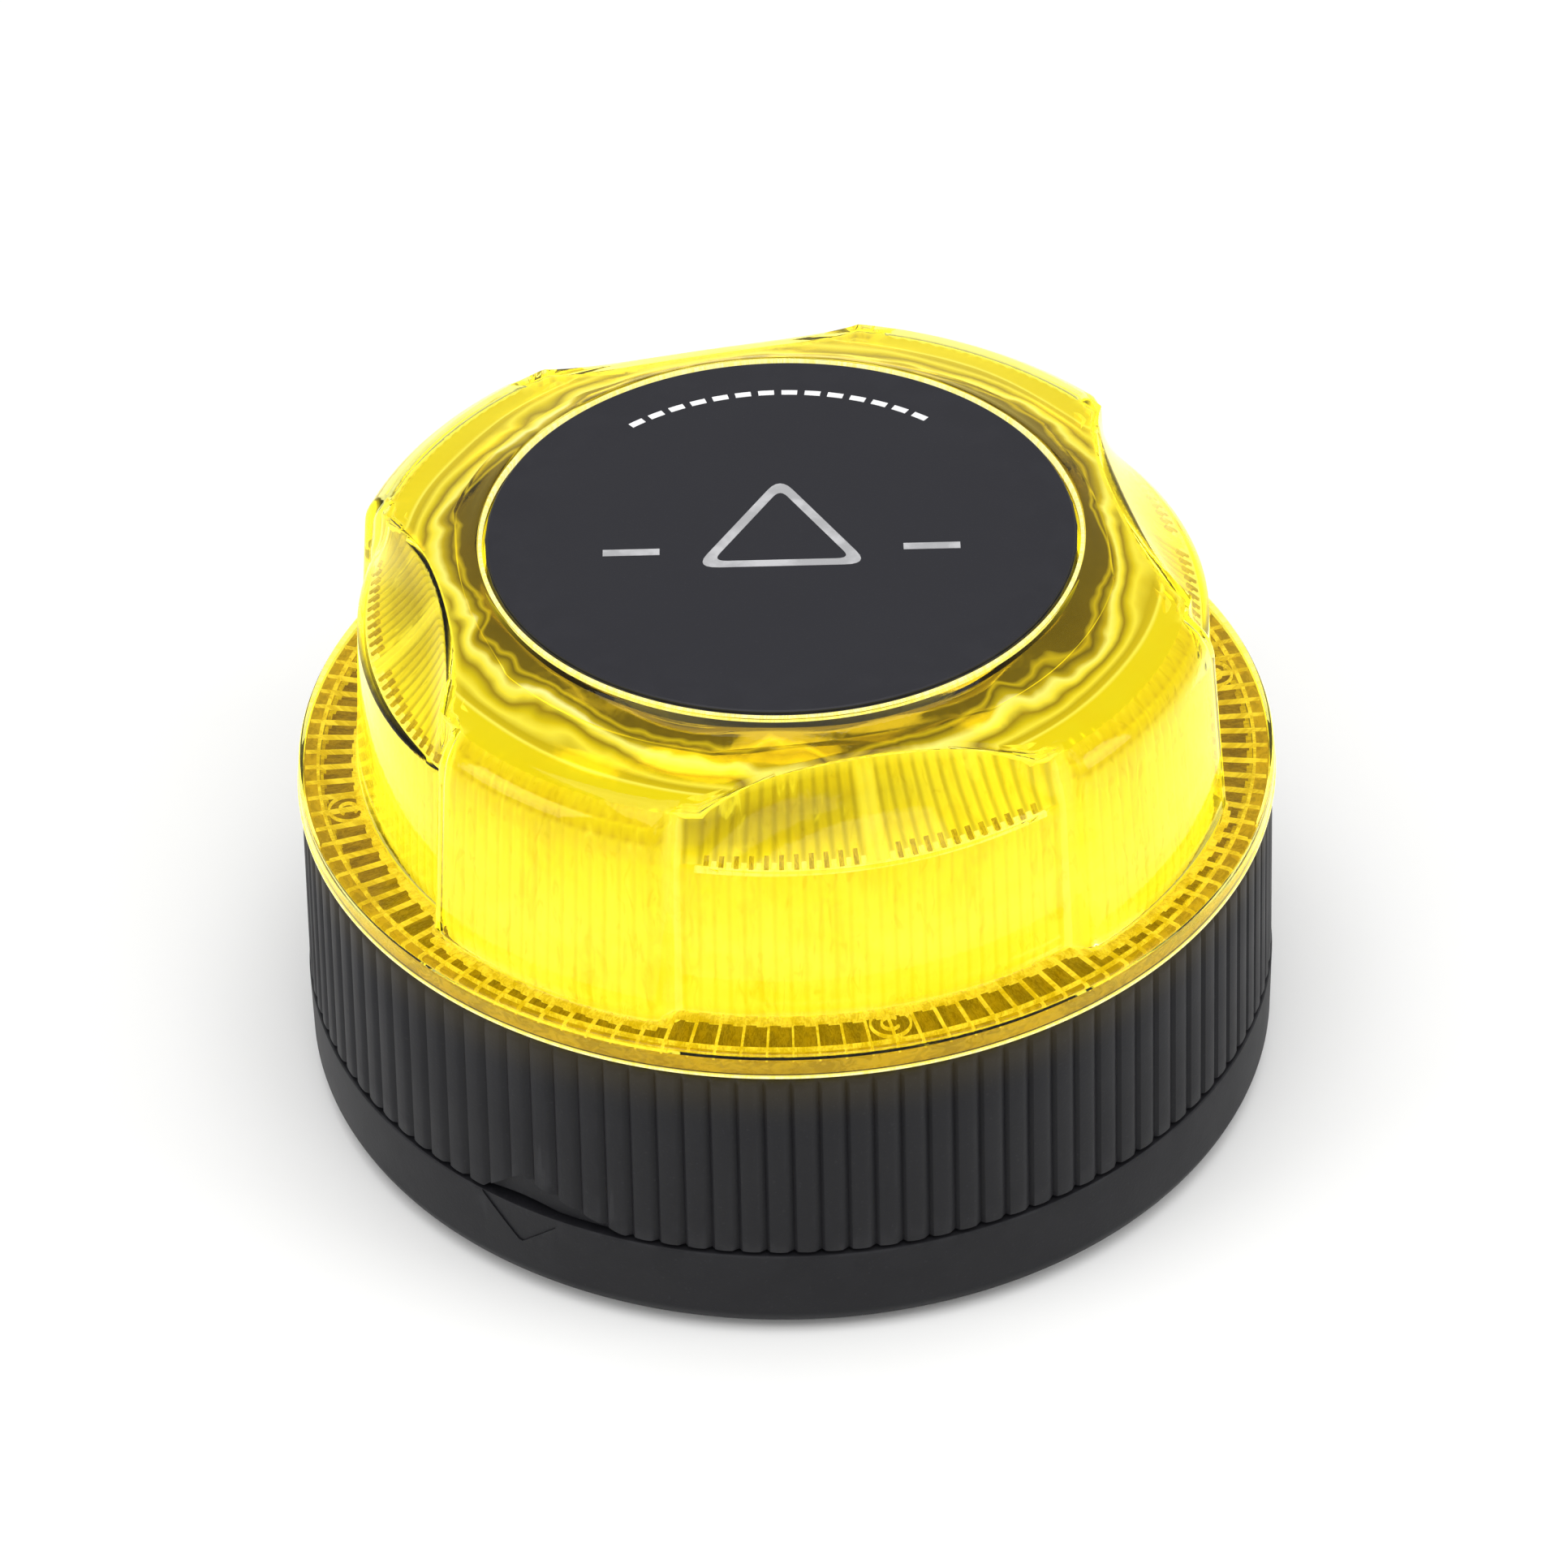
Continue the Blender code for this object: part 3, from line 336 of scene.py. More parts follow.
class Effects:
    """The shader node groups that more than one finish uses, each built once."""

    made: dict[str, bpy.types.NodeTree] = {}

    @classmethod
    def _start(cls, name: str, inputs: dict[str, float],
               outputs: Sequence[str]) -> tuple[Graph, dict[str, Socket], bpy.types.Node]:
        """Start a group with number inputs and outputs.

        Args:
            name: The group's name.
            inputs: Input names and their first values.
            outputs: Output names.

        Returns:
            The graph, the inputs' sockets inside it, and the output node.
        """
        tree = bpy.data.node_groups.new(name, "ShaderNodeTree")
        for label, value in inputs.items():
            socket = tree.interface.new_socket(label, in_out="INPUT", socket_type="NodeSocketFloat")
            socket.default_value = value
        for label in outputs:
            tree.interface.new_socket(label, in_out="OUTPUT", socket_type="NodeSocketFloat")
        graph = Graph(tree)
        source = graph.node("NodeGroupInput")
        cls.made[name] = tree
        return graph, {s.name: s for s in source.outputs if s.name}, graph.node("NodeGroupOutput")

    @classmethod
    def grain(cls) -> bpy.types.NodeTree:
        """Spark-eroded mould grain: a height, and flecks that catch light, which the finish paints lighter
        as glints.
        """
        if "mould_grain" in cls.made:
            return cls.made["mould_grain"]
        graph, given, out = cls._start("mould_grain", {"Scale": 3000.0}, ("Height", "PaintedGlint"))
        place = graph.place()
        fine = graph.noise(place, given["Scale"], 2.0)
        coarse = graph.noise(place, graph.maths("MULTIPLY", given["Scale"], 0.22), 2.0)
        height = graph.maths("MULTIPLY_ADD", coarse, 0.5, graph.maths("MULTIPLY", fine, 0.5))
        graph.plug(out.inputs["Height"], height)
        graph.plug(out.inputs["PaintedGlint"], graph.span(fine, 0.62, 0.78))
        return cls.made["mould_grain"]

    @classmethod
    def wear(cls) -> bpy.types.NodeTree:
        """Rubbed edges: where the surface is convex, broken up by noise."""
        if "edge_wear" in cls.made:
            return cls.made["edge_wear"]
        graph, given, out = cls._start("edge_wear", {"Amount": 0.5, "Scale": 300.0}, ("Mask",))
        point = graph.node("ShaderNodeNewGeometry").outputs["Pointiness"]
        edge = graph.span(point, 0.505, 0.56)
        broken = graph.span(graph.noise(graph.place(), given["Scale"], 4.0), 0.42, 0.62)
        mask = graph.maths("MULTIPLY", edge, broken)
        graph.plug(out.inputs["Mask"], graph.maths("MULTIPLY", mask, given["Amount"], clamp=True))
        return cls.made["edge_wear"]

    @classmethod
    def dust(cls) -> bpy.types.NodeTree:
        """Fine dust in soft patches and specks."""
        if "dust" in cls.made:
            return cls.made["dust"]
        graph, given, out = cls._start("dust", {"Amount": 0.5}, ("Mask",))
        place = graph.place()
        patches = graph.span(graph.noise(place, 55.0, 5.0), 0.45, 0.75)
        specks = graph.span(graph.cells(place, 420.0), 0.10, 0.03)
        mask = graph.maths("MULTIPLY_ADD", patches, 0.35, graph.maths("MULTIPLY", specks, 0.9))
        graph.plug(out.inputs["Mask"], graph.maths("MULTIPLY", mask, given["Amount"], clamp=True))
        return cls.made["dust"]

    @classmethod
    def swirl(cls) -> bpy.types.NodeTree:
        """Soft streaks that run round the axis, as moulded plastic shows when it is lit inside."""
        if "swirl" in cls.made:
            return cls.made["swirl"]
        graph, given, out = cls._start(
            "swirl", {"Around": 3.0, "Across": 120.0, "Warp": 0.6, "Seed": 0.0}, ("Value", "Fine"))
        x, y, z = graph.parts(graph.place())
        radius = graph.maths("SQRT", graph.maths("ADD", graph.maths("MULTIPLY", x, x),
                                                 graph.maths("MULTIPLY", y, y)))
        over = graph.maths("DIVIDE", given["Around"], radius)
        across = graph.maths("MULTIPLY", graph.maths("SUBTRACT", z, radius), given["Across"])
        vector = graph.vector(graph.maths("MULTIPLY", x, over), graph.maths("MULTIPLY", y, over),
                              graph.maths("ADD", across, given["Seed"]))
        broad = graph.noise(vector, 1.0, 2.0, 0.6)
        fine = graph.noise(vector, 4.0, 4.0, 1.4)
        graph.plug(out.inputs["Value"], graph.maths(
            "MULTIPLY_ADD", graph.maths("SUBTRACT", fine, 0.5), given["Warp"], broad))
        graph.plug(out.inputs["Fine"], fine)
        return cls.made["swirl"]


# Finishes -----------------------------------------------------------------------------------------


@dataclass(frozen=True)
class Finish:
    """A named finish. build makes its material once, and later calls return that one."""

    name: str

    def build(self) -> bpy.types.Material:
        """Make the material, or find it if it is there.

        Returns:
            The material.
        """
        found = bpy.data.materials.get(self.name)
        if found:
            return found
        made = bpy.data.materials.new(self.name)
        made.use_nodes = True
        graph = Graph(made.node_tree)
        self.dress(graph, made.node_tree.nodes["Principled BSDF"])
        return made

    def dress(self, graph: Graph, shader: bpy.types.Node) -> None:
        """Fill in the material's nodes.

        Args:
            graph: The material's graph.
            shader: Its Principled BSDF.
        """
        raise NotImplementedError


@dataclass(frozen=True)
class Moulded(Finish):
    """Moulded plastic or rubber with grain, rubbed edges and a little dust."""

    colour: Colour = (0.012, 0.012, 0.015)
    roughness: float = 0.5
    grain: float = 3200.0
    depth: float = 0.00004
    wear: float = 0.5
    dust: float = 0.25
    specular: float = 0.5
    glow_top: float = 0.0
    glow_reach: float = 0.0

    def dress(self, graph: Graph, shader: bpy.types.Node) -> None:
        """See Finish.dress: colour, roughness and bump vary over the surface."""
        grain = graph.use(Effects.grain(), Scale=self.grain)
        wear = graph.use(Effects.wear(), Amount=self.wear)
        dust = graph.use(Effects.dust(), Amount=self.dust)
        lighter = tuple(min(1.0, 1.7 * c + 0.012) for c in self.colour)
        dusty = tuple(0.75 * c + 0.05 for c in self.colour)
        colour = graph.mix(wear.outputs["Mask"], self.colour, lighter)
        # painted glints: the grain's flecks lighten the colour as if they caught the light
        colour = graph.mix(graph.maths("MULTIPLY", grain.outputs["PaintedGlint"], 0.35), colour, lighter)
        colour = graph.mix(dust.outputs["Mask"], colour, dusty)
        patches = graph.noise(graph.place(), 60.0, 4.0)
        rough = graph.span(patches, 0.3, 0.7, (self.roughness - 0.05, self.roughness + 0.05))
        rough = graph.maths("MULTIPLY_ADD", dust.outputs["Mask"], 0.2, rough, clamp=True)
        graph.plug(shader.inputs["Base Color"], colour)
        graph.plug(shader.inputs["Roughness"], rough)
        graph.plug(shader.inputs["Specular IOR Level"], self.specular)
        graph.plug(shader.inputs["Normal"], graph.bump(grain.outputs["Height"], 0.6, self.depth))
        if self.glow_reach:
            self.light_spill(graph, shader)

    def light_spill(self, graph: Graph, shader: bpy.types.Node) -> None:
        """Warm light that the lens spills down the wall under it.

        Args:
            graph: The material's graph.
            shader: Its Principled BSDF.
        """
        _, _, height = graph.parts(graph.place())
        low = (self.glow_top - self.glow_reach) * MM
        near = graph.span(height, low, self.glow_top * MM)
        near = graph.maths("POWER", near, 1.6)
        spill = graph.mix(near, NO_LIGHT, (0.026, 0.018, 0.002))
        graph.plug(shader.inputs["Emission Color"], spill)
        graph.plug(shader.inputs["Emission Strength"], 1.0)


@dataclass(frozen=True)
class ClearAmber(Finish):
    """Clear amber polycarbonate, polished, with faint flow marks and a painted glow along edges seen
    edge-on.
    """

    tint: Colour = (1.0, 0.97, 0.30)

    def dress(self, graph: Graph, shader: bpy.types.Node) -> None:
        """See Finish.dress: glass with a tint that drifts, a faint waviness, and painted glow where the
        surface turns edge-on to the view.
        """
        flow = graph.use(Effects.swirl(), Around=4.0, Across=140.0)
        deeper = tuple(c * f for c, f in zip(self.tint, (1.0, 0.97, 0.60)))
        graph.plug(shader.inputs["Base Color"], graph.mix(
            graph.span(flow.outputs["Value"], 0.4, 0.75), self.tint, deeper))
        graph.plug(shader.inputs["Roughness"], graph.span(
            flow.outputs["Fine"], 0.3, 0.8, (0.01, 0.05)))
        graph.plug(shader.inputs["Transmission Weight"], 1.0)
        graph.plug(shader.inputs["IOR"], 1.25)
        graph.plug(shader.inputs["Specular IOR Level"], 0.3)
        # painted glow: the clear shell emits amber light where it is seen edge-on, standing in for light
        # carried to its edges
        edge = graph.node("ShaderNodeLayerWeight").outputs["Facing"]
        edge_glow = graph.span(graph.maths("POWER", edge, 3.0), 0.10, 0.85)
        lit = graph.mix(edge_glow, NO_LIGHT, (0.80, 0.64, 0.015))
        graph.plug(shader.inputs["Emission Color"], lit)
        graph.plug(shader.inputs["Emission Strength"], 1.0)
        graph.plug(shader.inputs["Normal"], graph.bump(flow.outputs["Fine"], 0.2, 0.00005))


@dataclass(frozen=True)
class LampSleeve(Finish):
    """The lit inside of the lens, a sleeve glowing with painted light: bright walls, deeper amber light
    under the scoops, painted shade on flutes, ribs and cells, and a painted highlight to one side of each
    scoop.
    """

    def dress(self, graph: Graph, shader: bpy.types.Node) -> None:
        """See Finish.dress: light by how far up the wall a point lies, and by the windows."""
        climb, window = graph.reading("climb"), graph.reading("window")
        flute, side = graph.reading("flute"), graph.reading("side")
        flow = graph.use(Effects.swirl(), Around=9.0, Across=60.0, Warp=0.9)
        wall = graph.ramp(graph.maths("MULTIPLY", climb, 0.5), (
            (0.0, (0.98, 0.80, 0.020)), (0.06, (1.0, 0.93, 0.10)), (0.24, (1.0, 0.94, 0.14)),
            (0.40, (0.98, 0.88, 0.06)), (0.50, (0.90, 0.78, 0.012)), (0.60, (0.80, 0.67, 0.004)),
            (1.0, (0.80, 0.68, 0.004))))
        scoop = graph.ramp(graph.span(climb, 1.0, 2.0), (
            (0.0, (1.0, 0.94, 0.20)), (0.14, (0.85, 0.74, 0.02)), (0.35, (0.58, 0.48, 0.002)),
            (0.75, (0.40, 0.32, 0.0)), (1.0, (0.68, 0.57, 0.01))))
        # painted highlight: the scoop's light grows brighter towards one side
        scoop_side_highlight = graph.mix(graph.span(side, -0.4, 0.9), scoop, (0.98, 0.88, 0.05))
        # painted shade: the scoop's light is darker along its ribs
        rib_shade = graph.span(flute, -0.3, 0.9, (0.0, 0.5))
        ribbed = graph.mix(rib_shade, scoop_side_highlight, (0.30, 0.24, 0.1), "MULTIPLY")
        inside = graph.maths("MULTIPLY", window, graph.span(climb, 0.96, 1.04))
        # painted shade: the wall's light is dimmed and deeper in tone along the flutes
        bands = graph.span(flute, -0.1, 1.0, (0.0, 0.8))
        flute_shaded = graph.mix(bands, wall, (0.93, 0.88, 0.45), "MULTIPLY")
        light = graph.mix(inside, flute_shaded, ribbed)
        shade = graph.span(flow.outputs["Value"], 0.55, 0.25)
        dark = graph.mix(shade, light, (0.90, 0.86, 0.50), "MULTIPLY")
        hot = graph.maths("MULTIPLY", graph.span(flow.outputs["Value"], 0.60, 0.85), 0.6)
        light = graph.mix(hot, dark, (1.0, 0.93, 0.12))
        # painted shade: each shoulder cell's light is darker towards its deep end
        cell = graph.maths("MULTIPLY", graph.reading("cell"), 0.8)
        light = graph.mix(cell, light, (0.66, 0.50, 0.04), "MULTIPLY")
        frame_share = graph.maths("MULTIPLY", graph.reading("frame"), FRAME_SHARE)
        light = graph.mix(frame_share, light, FRAME_LIGHT)
        graph.plug(shader.inputs["Base Color"], (0.18, 0.12, 0.004, 1.0))
        graph.plug(shader.inputs["Roughness"], graph.span(flow.outputs["Fine"], 0.3, 0.7, (0.25, 0.5)))
        graph.plug(shader.inputs["Emission Color"], light)
        graph.plug(shader.inputs["Emission Strength"], 1.0)


@dataclass(frozen=True)
class PaintedReflectionLiner(Finish):
    """A bright metal lining under the crown that reflects for real and also glows with painted reflections
    of the lamps in gold and brown.
    """

    def dress(self, graph: Graph, shader: bpy.types.Node) -> None:
        """See Finish.dress: painted reflections in bands round the button, bent by a slow swirl."""
        reach = graph.reading("climb")
        slow = graph.use(Effects.swirl(), Around=2.0, Across=45.0, Warp=0.0, Seed=2.0)
        quick = graph.use(Effects.swirl(), Around=5.0, Across=120.0, Warp=0.0, Seed=5.0)
        still = graph.span(reach, 0.70, 0.45)
        drift = graph.maths("MULTIPLY", graph.maths("SUBTRACT", slow.outputs["Value"], 0.5), 0.95)
        shiver = graph.maths("SUBTRACT", quick.outputs["Value"], 0.5)
        drift = graph.maths("MULTIPLY_ADD", shiver, 0.22, drift)
        bent = graph.maths("MULTIPLY_ADD", drift, still, reach)
        # painted reflections: dark browns, golds and white streaks in rings round the button glow from the
        # liner
        colour = graph.ramp(bent, (
            (0.00, (0.012, 0.008, 0.0)), (0.12, (0.030, 0.019, 0.0)), (0.16, (0.50, 0.38, 0.01)),
            (0.20, (0.050, 0.033, 0.0)), (0.27, (0.46, 0.36, 0.005)), (0.32, (1.0, 0.97, 0.62)),
            (0.38, (0.95, 0.84, 0.16)), (0.46, (0.22, 0.155, 0.0)), (0.54, (0.66, 0.55, 0.0)),
            (0.60, (0.95, 0.86, 0.20)), (0.66, (0.52, 0.42, 0.0)), (0.71, (0.60, 0.49, 0.0)),
            (0.73, (1.0, 0.95, 0.35)), (0.76, (0.79, 0.68, 0.0)), (1.00, (0.79, 0.68, 0.0))))
        frame_share = graph.maths("MULTIPLY", graph.reading("frame"), FRAME_SHARE)
        colour = graph.mix(frame_share, colour, FRAME_LIGHT)
        graph.plug(shader.inputs["Base Color"], (0.30, 0.21, 0.02, 1.0))
        graph.plug(shader.inputs["Metallic"], 1.0)
        graph.plug(shader.inputs["Roughness"], graph.span(quick.outputs["Fine"], 0.3, 0.7, (0.08, 0.22)))
        graph.plug(shader.inputs["Emission Color"], colour)
        graph.plug(shader.inputs["Emission Strength"], 0.95)


@dataclass(frozen=True)
class LitAmber(Finish):
    """A moulded edge or floor that glows with painted light standing in for the lamps' light it carries,
    brighter or duller along its length.
    """

    bright: Colour = (0.95, 0.80, 0.08)
    dull: Colour = (0.70, 0.55, 0.01)
    around: float = 30.0

    def dress(self, graph: Graph, shader: bpy.types.Node) -> None:
        """See Finish.dress: two tones of light mixed by a fine swirl."""
        flow = graph.use(Effects.swirl(), Around=self.around, Across=300.0, Warp=0.8)
        share = graph.span(flow.outputs["Value"], 0.3, 0.7)
        graph.plug(shader.inputs["Base Color"], graph.mix(share, (0.10, 0.06, 0.0), (0.16, 0.10, 0.0)))
        graph.plug(shader.inputs["Roughness"], graph.span(flow.outputs["Fine"], 0.3, 0.7, (0.15, 0.4)))
        graph.plug(shader.inputs["Emission Color"], graph.mix(share, self.dull, self.bright))
        graph.plug(shader.inputs["Emission Strength"], 1.0)


@dataclass(frozen=True)
class Plated(Finish):
    """Plated or zinc-coated metal with fine drawn lines."""

    colour: Colour = (0.6, 0.6, 0.6)
    roughness: float = 0.28
    lines: float = 900.0

    def dress(self, graph: Graph, shader: bpy.types.Node) -> None:
        """See Finish.dress: drawn lines and tarnish."""
        x, y, z = graph.parts(graph.place())
        drawn = graph.noise(graph.vector(x, y, graph.maths("MULTIPLY", z, 14.0)), self.lines, 3.0)
        tarnish = graph.span(graph.noise(graph.place(), 130.0, 4.0), 0.45, 0.75)
        duller = tuple(0.62 * c for c in self.colour)
        graph.plug(shader.inputs["Base Color"], graph.mix(tarnish, self.colour, duller))
        graph.plug(shader.inputs["Metallic"], 1.0)
        graph.plug(shader.inputs["Roughness"], graph.span(
            drawn, 0.3, 0.7, (self.roughness - 0.08, self.roughness + 0.14)))
        graph.plug(shader.inputs["Normal"], graph.bump(drawn, 0.3, 0.00003))


@dataclass(frozen=True)
class SolderMask(Finish):
    """A green circuit board with tracks under its mask."""

    def dress(self, graph: Graph, shader: bpy.types.Node) -> None:
        """See Finish.dress: square-cornered tracks, lighter than the board."""
        place = graph.place()
        made = graph.node("ShaderNodeTexVoronoi", distance="MANHATTAN", feature="F2")
        graph.plug(made.inputs["Vector"], place)
        graph.plug(made.inputs["Scale"], 420.0)
        steps = graph.maths("FRACT", graph.maths("MULTIPLY", made.outputs["Distance"], 3.0))
        tracks = graph.span(steps, 0.42, 0.5)
        green = graph.mix(tracks, (0.008, 0.075, 0.03), (0.02, 0.16, 0.06))
        graph.plug(shader.inputs["Base Color"], green)
        speckle = graph.noise(place, 900.0, 2.0)
        graph.plug(shader.inputs["Roughness"], graph.span(speckle, 0.3, 0.7, (0.28, 0.42)))
        graph.plug(shader.inputs["Normal"], graph.bump(tracks, 0.5, 0.00003))


@dataclass(frozen=True)
class CellWrap(Finish):
    """A plain dark film round a cell, with a metal-coloured band near its ends."""

    half_length: float = 25.0

    def dress(self, graph: Graph, shader: bpy.types.Node) -> None:
        """See Finish.dress: the band starts at a share of the cell's length."""
        x, _, _ = graph.parts(graph.place())
        out = graph.maths("ABSOLUTE", x)
        band = graph.span(out, 0.62 * self.half_length * MM, 0.63 * self.half_length * MM)
        wrinkles = graph.noise(graph.place(), 260.0, 4.0, 0.8)
        graph.plug(shader.inputs["Base Color"], graph.mix(band, (0.02, 0.022, 0.028), (0.42, 0.24, 0.09)))
        graph.plug(shader.inputs["Metallic"], graph.maths("MULTIPLY", band, 0.8))
        graph.plug(shader.inputs["Roughness"], graph.span(wrinkles, 0.3, 0.7, (0.2, 0.34)))
        graph.plug(shader.inputs["Normal"], graph.bump(wrinkles, 0.25, 0.00005))


@dataclass(frozen=True)
class LampFace(Finish):
    """A lamp's white package with a lit phosphor square on top."""

    def dress(self, graph: Graph, shader: bpy.types.Node) -> None:
        """See Finish.dress: what faces up is phosphor."""
        _, _, up = graph.parts(graph.node("ShaderNodeNewGeometry").outputs["Normal"])
        phosphor = graph.span(up, 0.55, 0.95)
        speckle = graph.noise(graph.place(), 2500.0, 2.0)
        lit = graph.mix(graph.span(speckle, 0.3, 0.7), (1.0, 0.72, 0.10), (1.0, 0.82, 0.22))
        graph.plug(shader.inputs["Base Color"], graph.mix(phosphor, (0.75, 0.74, 0.70), (0.85, 0.6, 0.06)))
        graph.plug(shader.inputs["Roughness"], graph.span(speckle, 0.3, 0.7, (0.35, 0.5)))
        graph.plug(shader.inputs["Emission Color"], graph.mix(phosphor, (0.1, 0.07, 0.01), lit))
        graph.plug(shader.inputs["Emission Strength"], 1.5)


SHELL = Moulded("shell_black", colour=(0.0085, 0.0085, 0.0105), roughness=0.55, dust=0.12,
                specular=0.22, glow_top=LENS_BASE, glow_reach=7.5)
COVER = Moulded("cover_black", colour=(0.0080, 0.0080, 0.0100), roughness=0.52, dust=0.10,
                specular=0.22)
CAP = Moulded("cap_black", colour=(0.016, 0.016, 0.02), roughness=0.4, depth=0.00002)
FILM = Moulded("film_black", colour=(0.018, 0.018, 0.023), roughness=0.42, grain=5200.0,
               depth=0.000012, wear=0.1, dust=0.06, specular=0.22)
INK = Moulded("print_grey", colour=(0.36, 0.36, 0.37), roughness=0.5, grain=6000.0, depth=0.00001,
              dust=0.05)
INK_PALE = Moulded("print_white", colour=(0.78, 0.78, 0.79), roughness=0.5, grain=6000.0,
                   depth=0.00001, dust=0.05)
RUBBER = Moulded("rubber_black", colour=(0.010, 0.010, 0.011), roughness=0.78, grain=1800.0, depth=0.00008)
SILICONE = Moulded("silicone_grey", colour=(0.42, 0.43, 0.43), roughness=0.55, grain=1500.0, dust=0.1)
CHIP = Moulded("chip_epoxy", colour=(0.014, 0.014, 0.016), roughness=0.45, grain=5000.0)
WHITE = Moulded("white_nylon", colour=(0.70, 0.70, 0.66), roughness=0.4)
CERAMIC = Moulded("antenna_ceramic", colour=(0.52, 0.47, 0.38), roughness=0.6, grain=4200.0)
WIRE_RED = Moulded("wire_red", colour=(0.42, 0.012, 0.010), roughness=0.45, grain=2600.0)
WIRE_BLACK = Moulded("wire_black", colour=(0.012, 0.012, 0.012), roughness=0.45, grain=2600.0)
STEEL = Plated("zinc_steel", colour=(0.50, 0.51, 0.53), roughness=0.34)
NICKEL = Plated("bright_nickel", colour=(0.66, 0.64, 0.60), roughness=0.22)
BRASS = Plated("turned_brass", colour=(0.66, 0.50, 0.24), roughness=0.26)
MIRROR = Plated("reflector_bright", colour=(0.86, 0.83, 0.74), roughness=0.14, lines=420.0)
LENS = ClearAmber("lens_amber")
SLEEVE = LampSleeve("lamp_sleeve")
LINER = PaintedReflectionLiner("crown_liner_painted_reflection")
GLINT = LitAmber("lit_glint", bright=(1.0, 0.96, 0.50), dull=(1.0, 0.90, 0.22), around=60.0)
RIB = LitAmber("lit_rib", bright=(0.92, 0.72, 0.10), dull=(0.66, 0.45, 0.012))
BLOCK = LitAmber("lit_block", bright=(0.58, 0.42, 0.004), dull=(0.36, 0.23, 0.0), around=60.0)
FLOOR = LitAmber("flange_floor_painted_glow", bright=(0.20, 0.115, 0.0), dull=(0.10, 0.052, 0.0), around=40.0)
MARGIN = LitAmber("flange_margin_painted_glow", bright=(0.46, 0.28, 0.002), dull=(0.30, 0.175, 0.0), around=8.0)


# Mesh building ------------------------------------------------------------------------------------


def around(bearing: float, radius: float) -> tuple[float, float]:
    """The (x, y) of a point at this bearing and radius."""
    angle = math.radians(bearing - 90.0)
    return radius * math.cos(angle), radius * math.sin(angle)


def ring_points(count: int, first: float = 0.0) -> list[float]:
    """Evenly spaced bearings, one for each of count places."""
    return [first + 360.0 * i / count for i in range(count)]


def rounded(outline: Outline, fillet: float, steps: int = 3) -> list[tuple[float, float]]:
    """Round an open outline's corners.

    Args:
        outline: Its points.
        fillet: How far from each corner the rounding starts.
        steps: How many points each rounding adds.

    Returns:
        The rounded outline, with its two ends where they were.
    """
    points = [np.array(p, float) for p in outline]
    made = [tuple(points[0])]
    for before, corner, after in zip(points, points[1:], points[2:]):
        reach_in = min(fillet, 0.45 * np.linalg.norm(before - corner))
        reach_out = min(fillet, 0.45 * np.linalg.norm(after - corner))
        start = corner + (before - corner) / np.linalg.norm(before - corner) * reach_in
        end = corner + (after - corner) / np.linalg.norm(after - corner) * reach_out
        for t in np.linspace(0.0, 1.0, steps + 1):
            made.append(tuple((1 - t) ** 2 * start + 2 * t * (1 - t) * corner + t * t * end))
    return [*made, tuple(points[-1])]


def evenly(outline: Outline, count: int) -> np.ndarray:
    """Points at even steps along an open outline.

    Args:
        outline: Its (radius, height) corners.
        count: How many points to give.

    Returns:
        The points, one to a row.
    """
    corners = np.array(outline)
    steps = np.hypot(*np.diff(corners, axis=0).T)
    along = np.concatenate([[0.0], np.cumsum(steps)])
    at = np.linspace(0.0, along[-1], count)
    return np.column_stack([np.interp(at, along, corners[:, k]) for k in range(2)])


def quads(rows: int, columns: int, close_rows: bool = False) -> np.ndarray:
    """The faces of a grid whose columns close on themselves.

    Args:
        rows: How many rows it has.
        columns: How many points each row has.
        close_rows: True if the last row joins the first.

    Returns:
        One row of four point numbers for each face.
    """
    i = np.arange(rows if close_rows else rows - 1)[:, None]
    j = np.arange(columns)[None, :]
    following, beside = (i + 1) % rows, (j + 1) % columns
    corners = (i * columns + j, i * columns + beside, following * columns + beside,
               following * columns + j)
    return np.stack([np.broadcast_to(c, (len(i), columns)) for c in corners], -1).reshape(-1, 4)


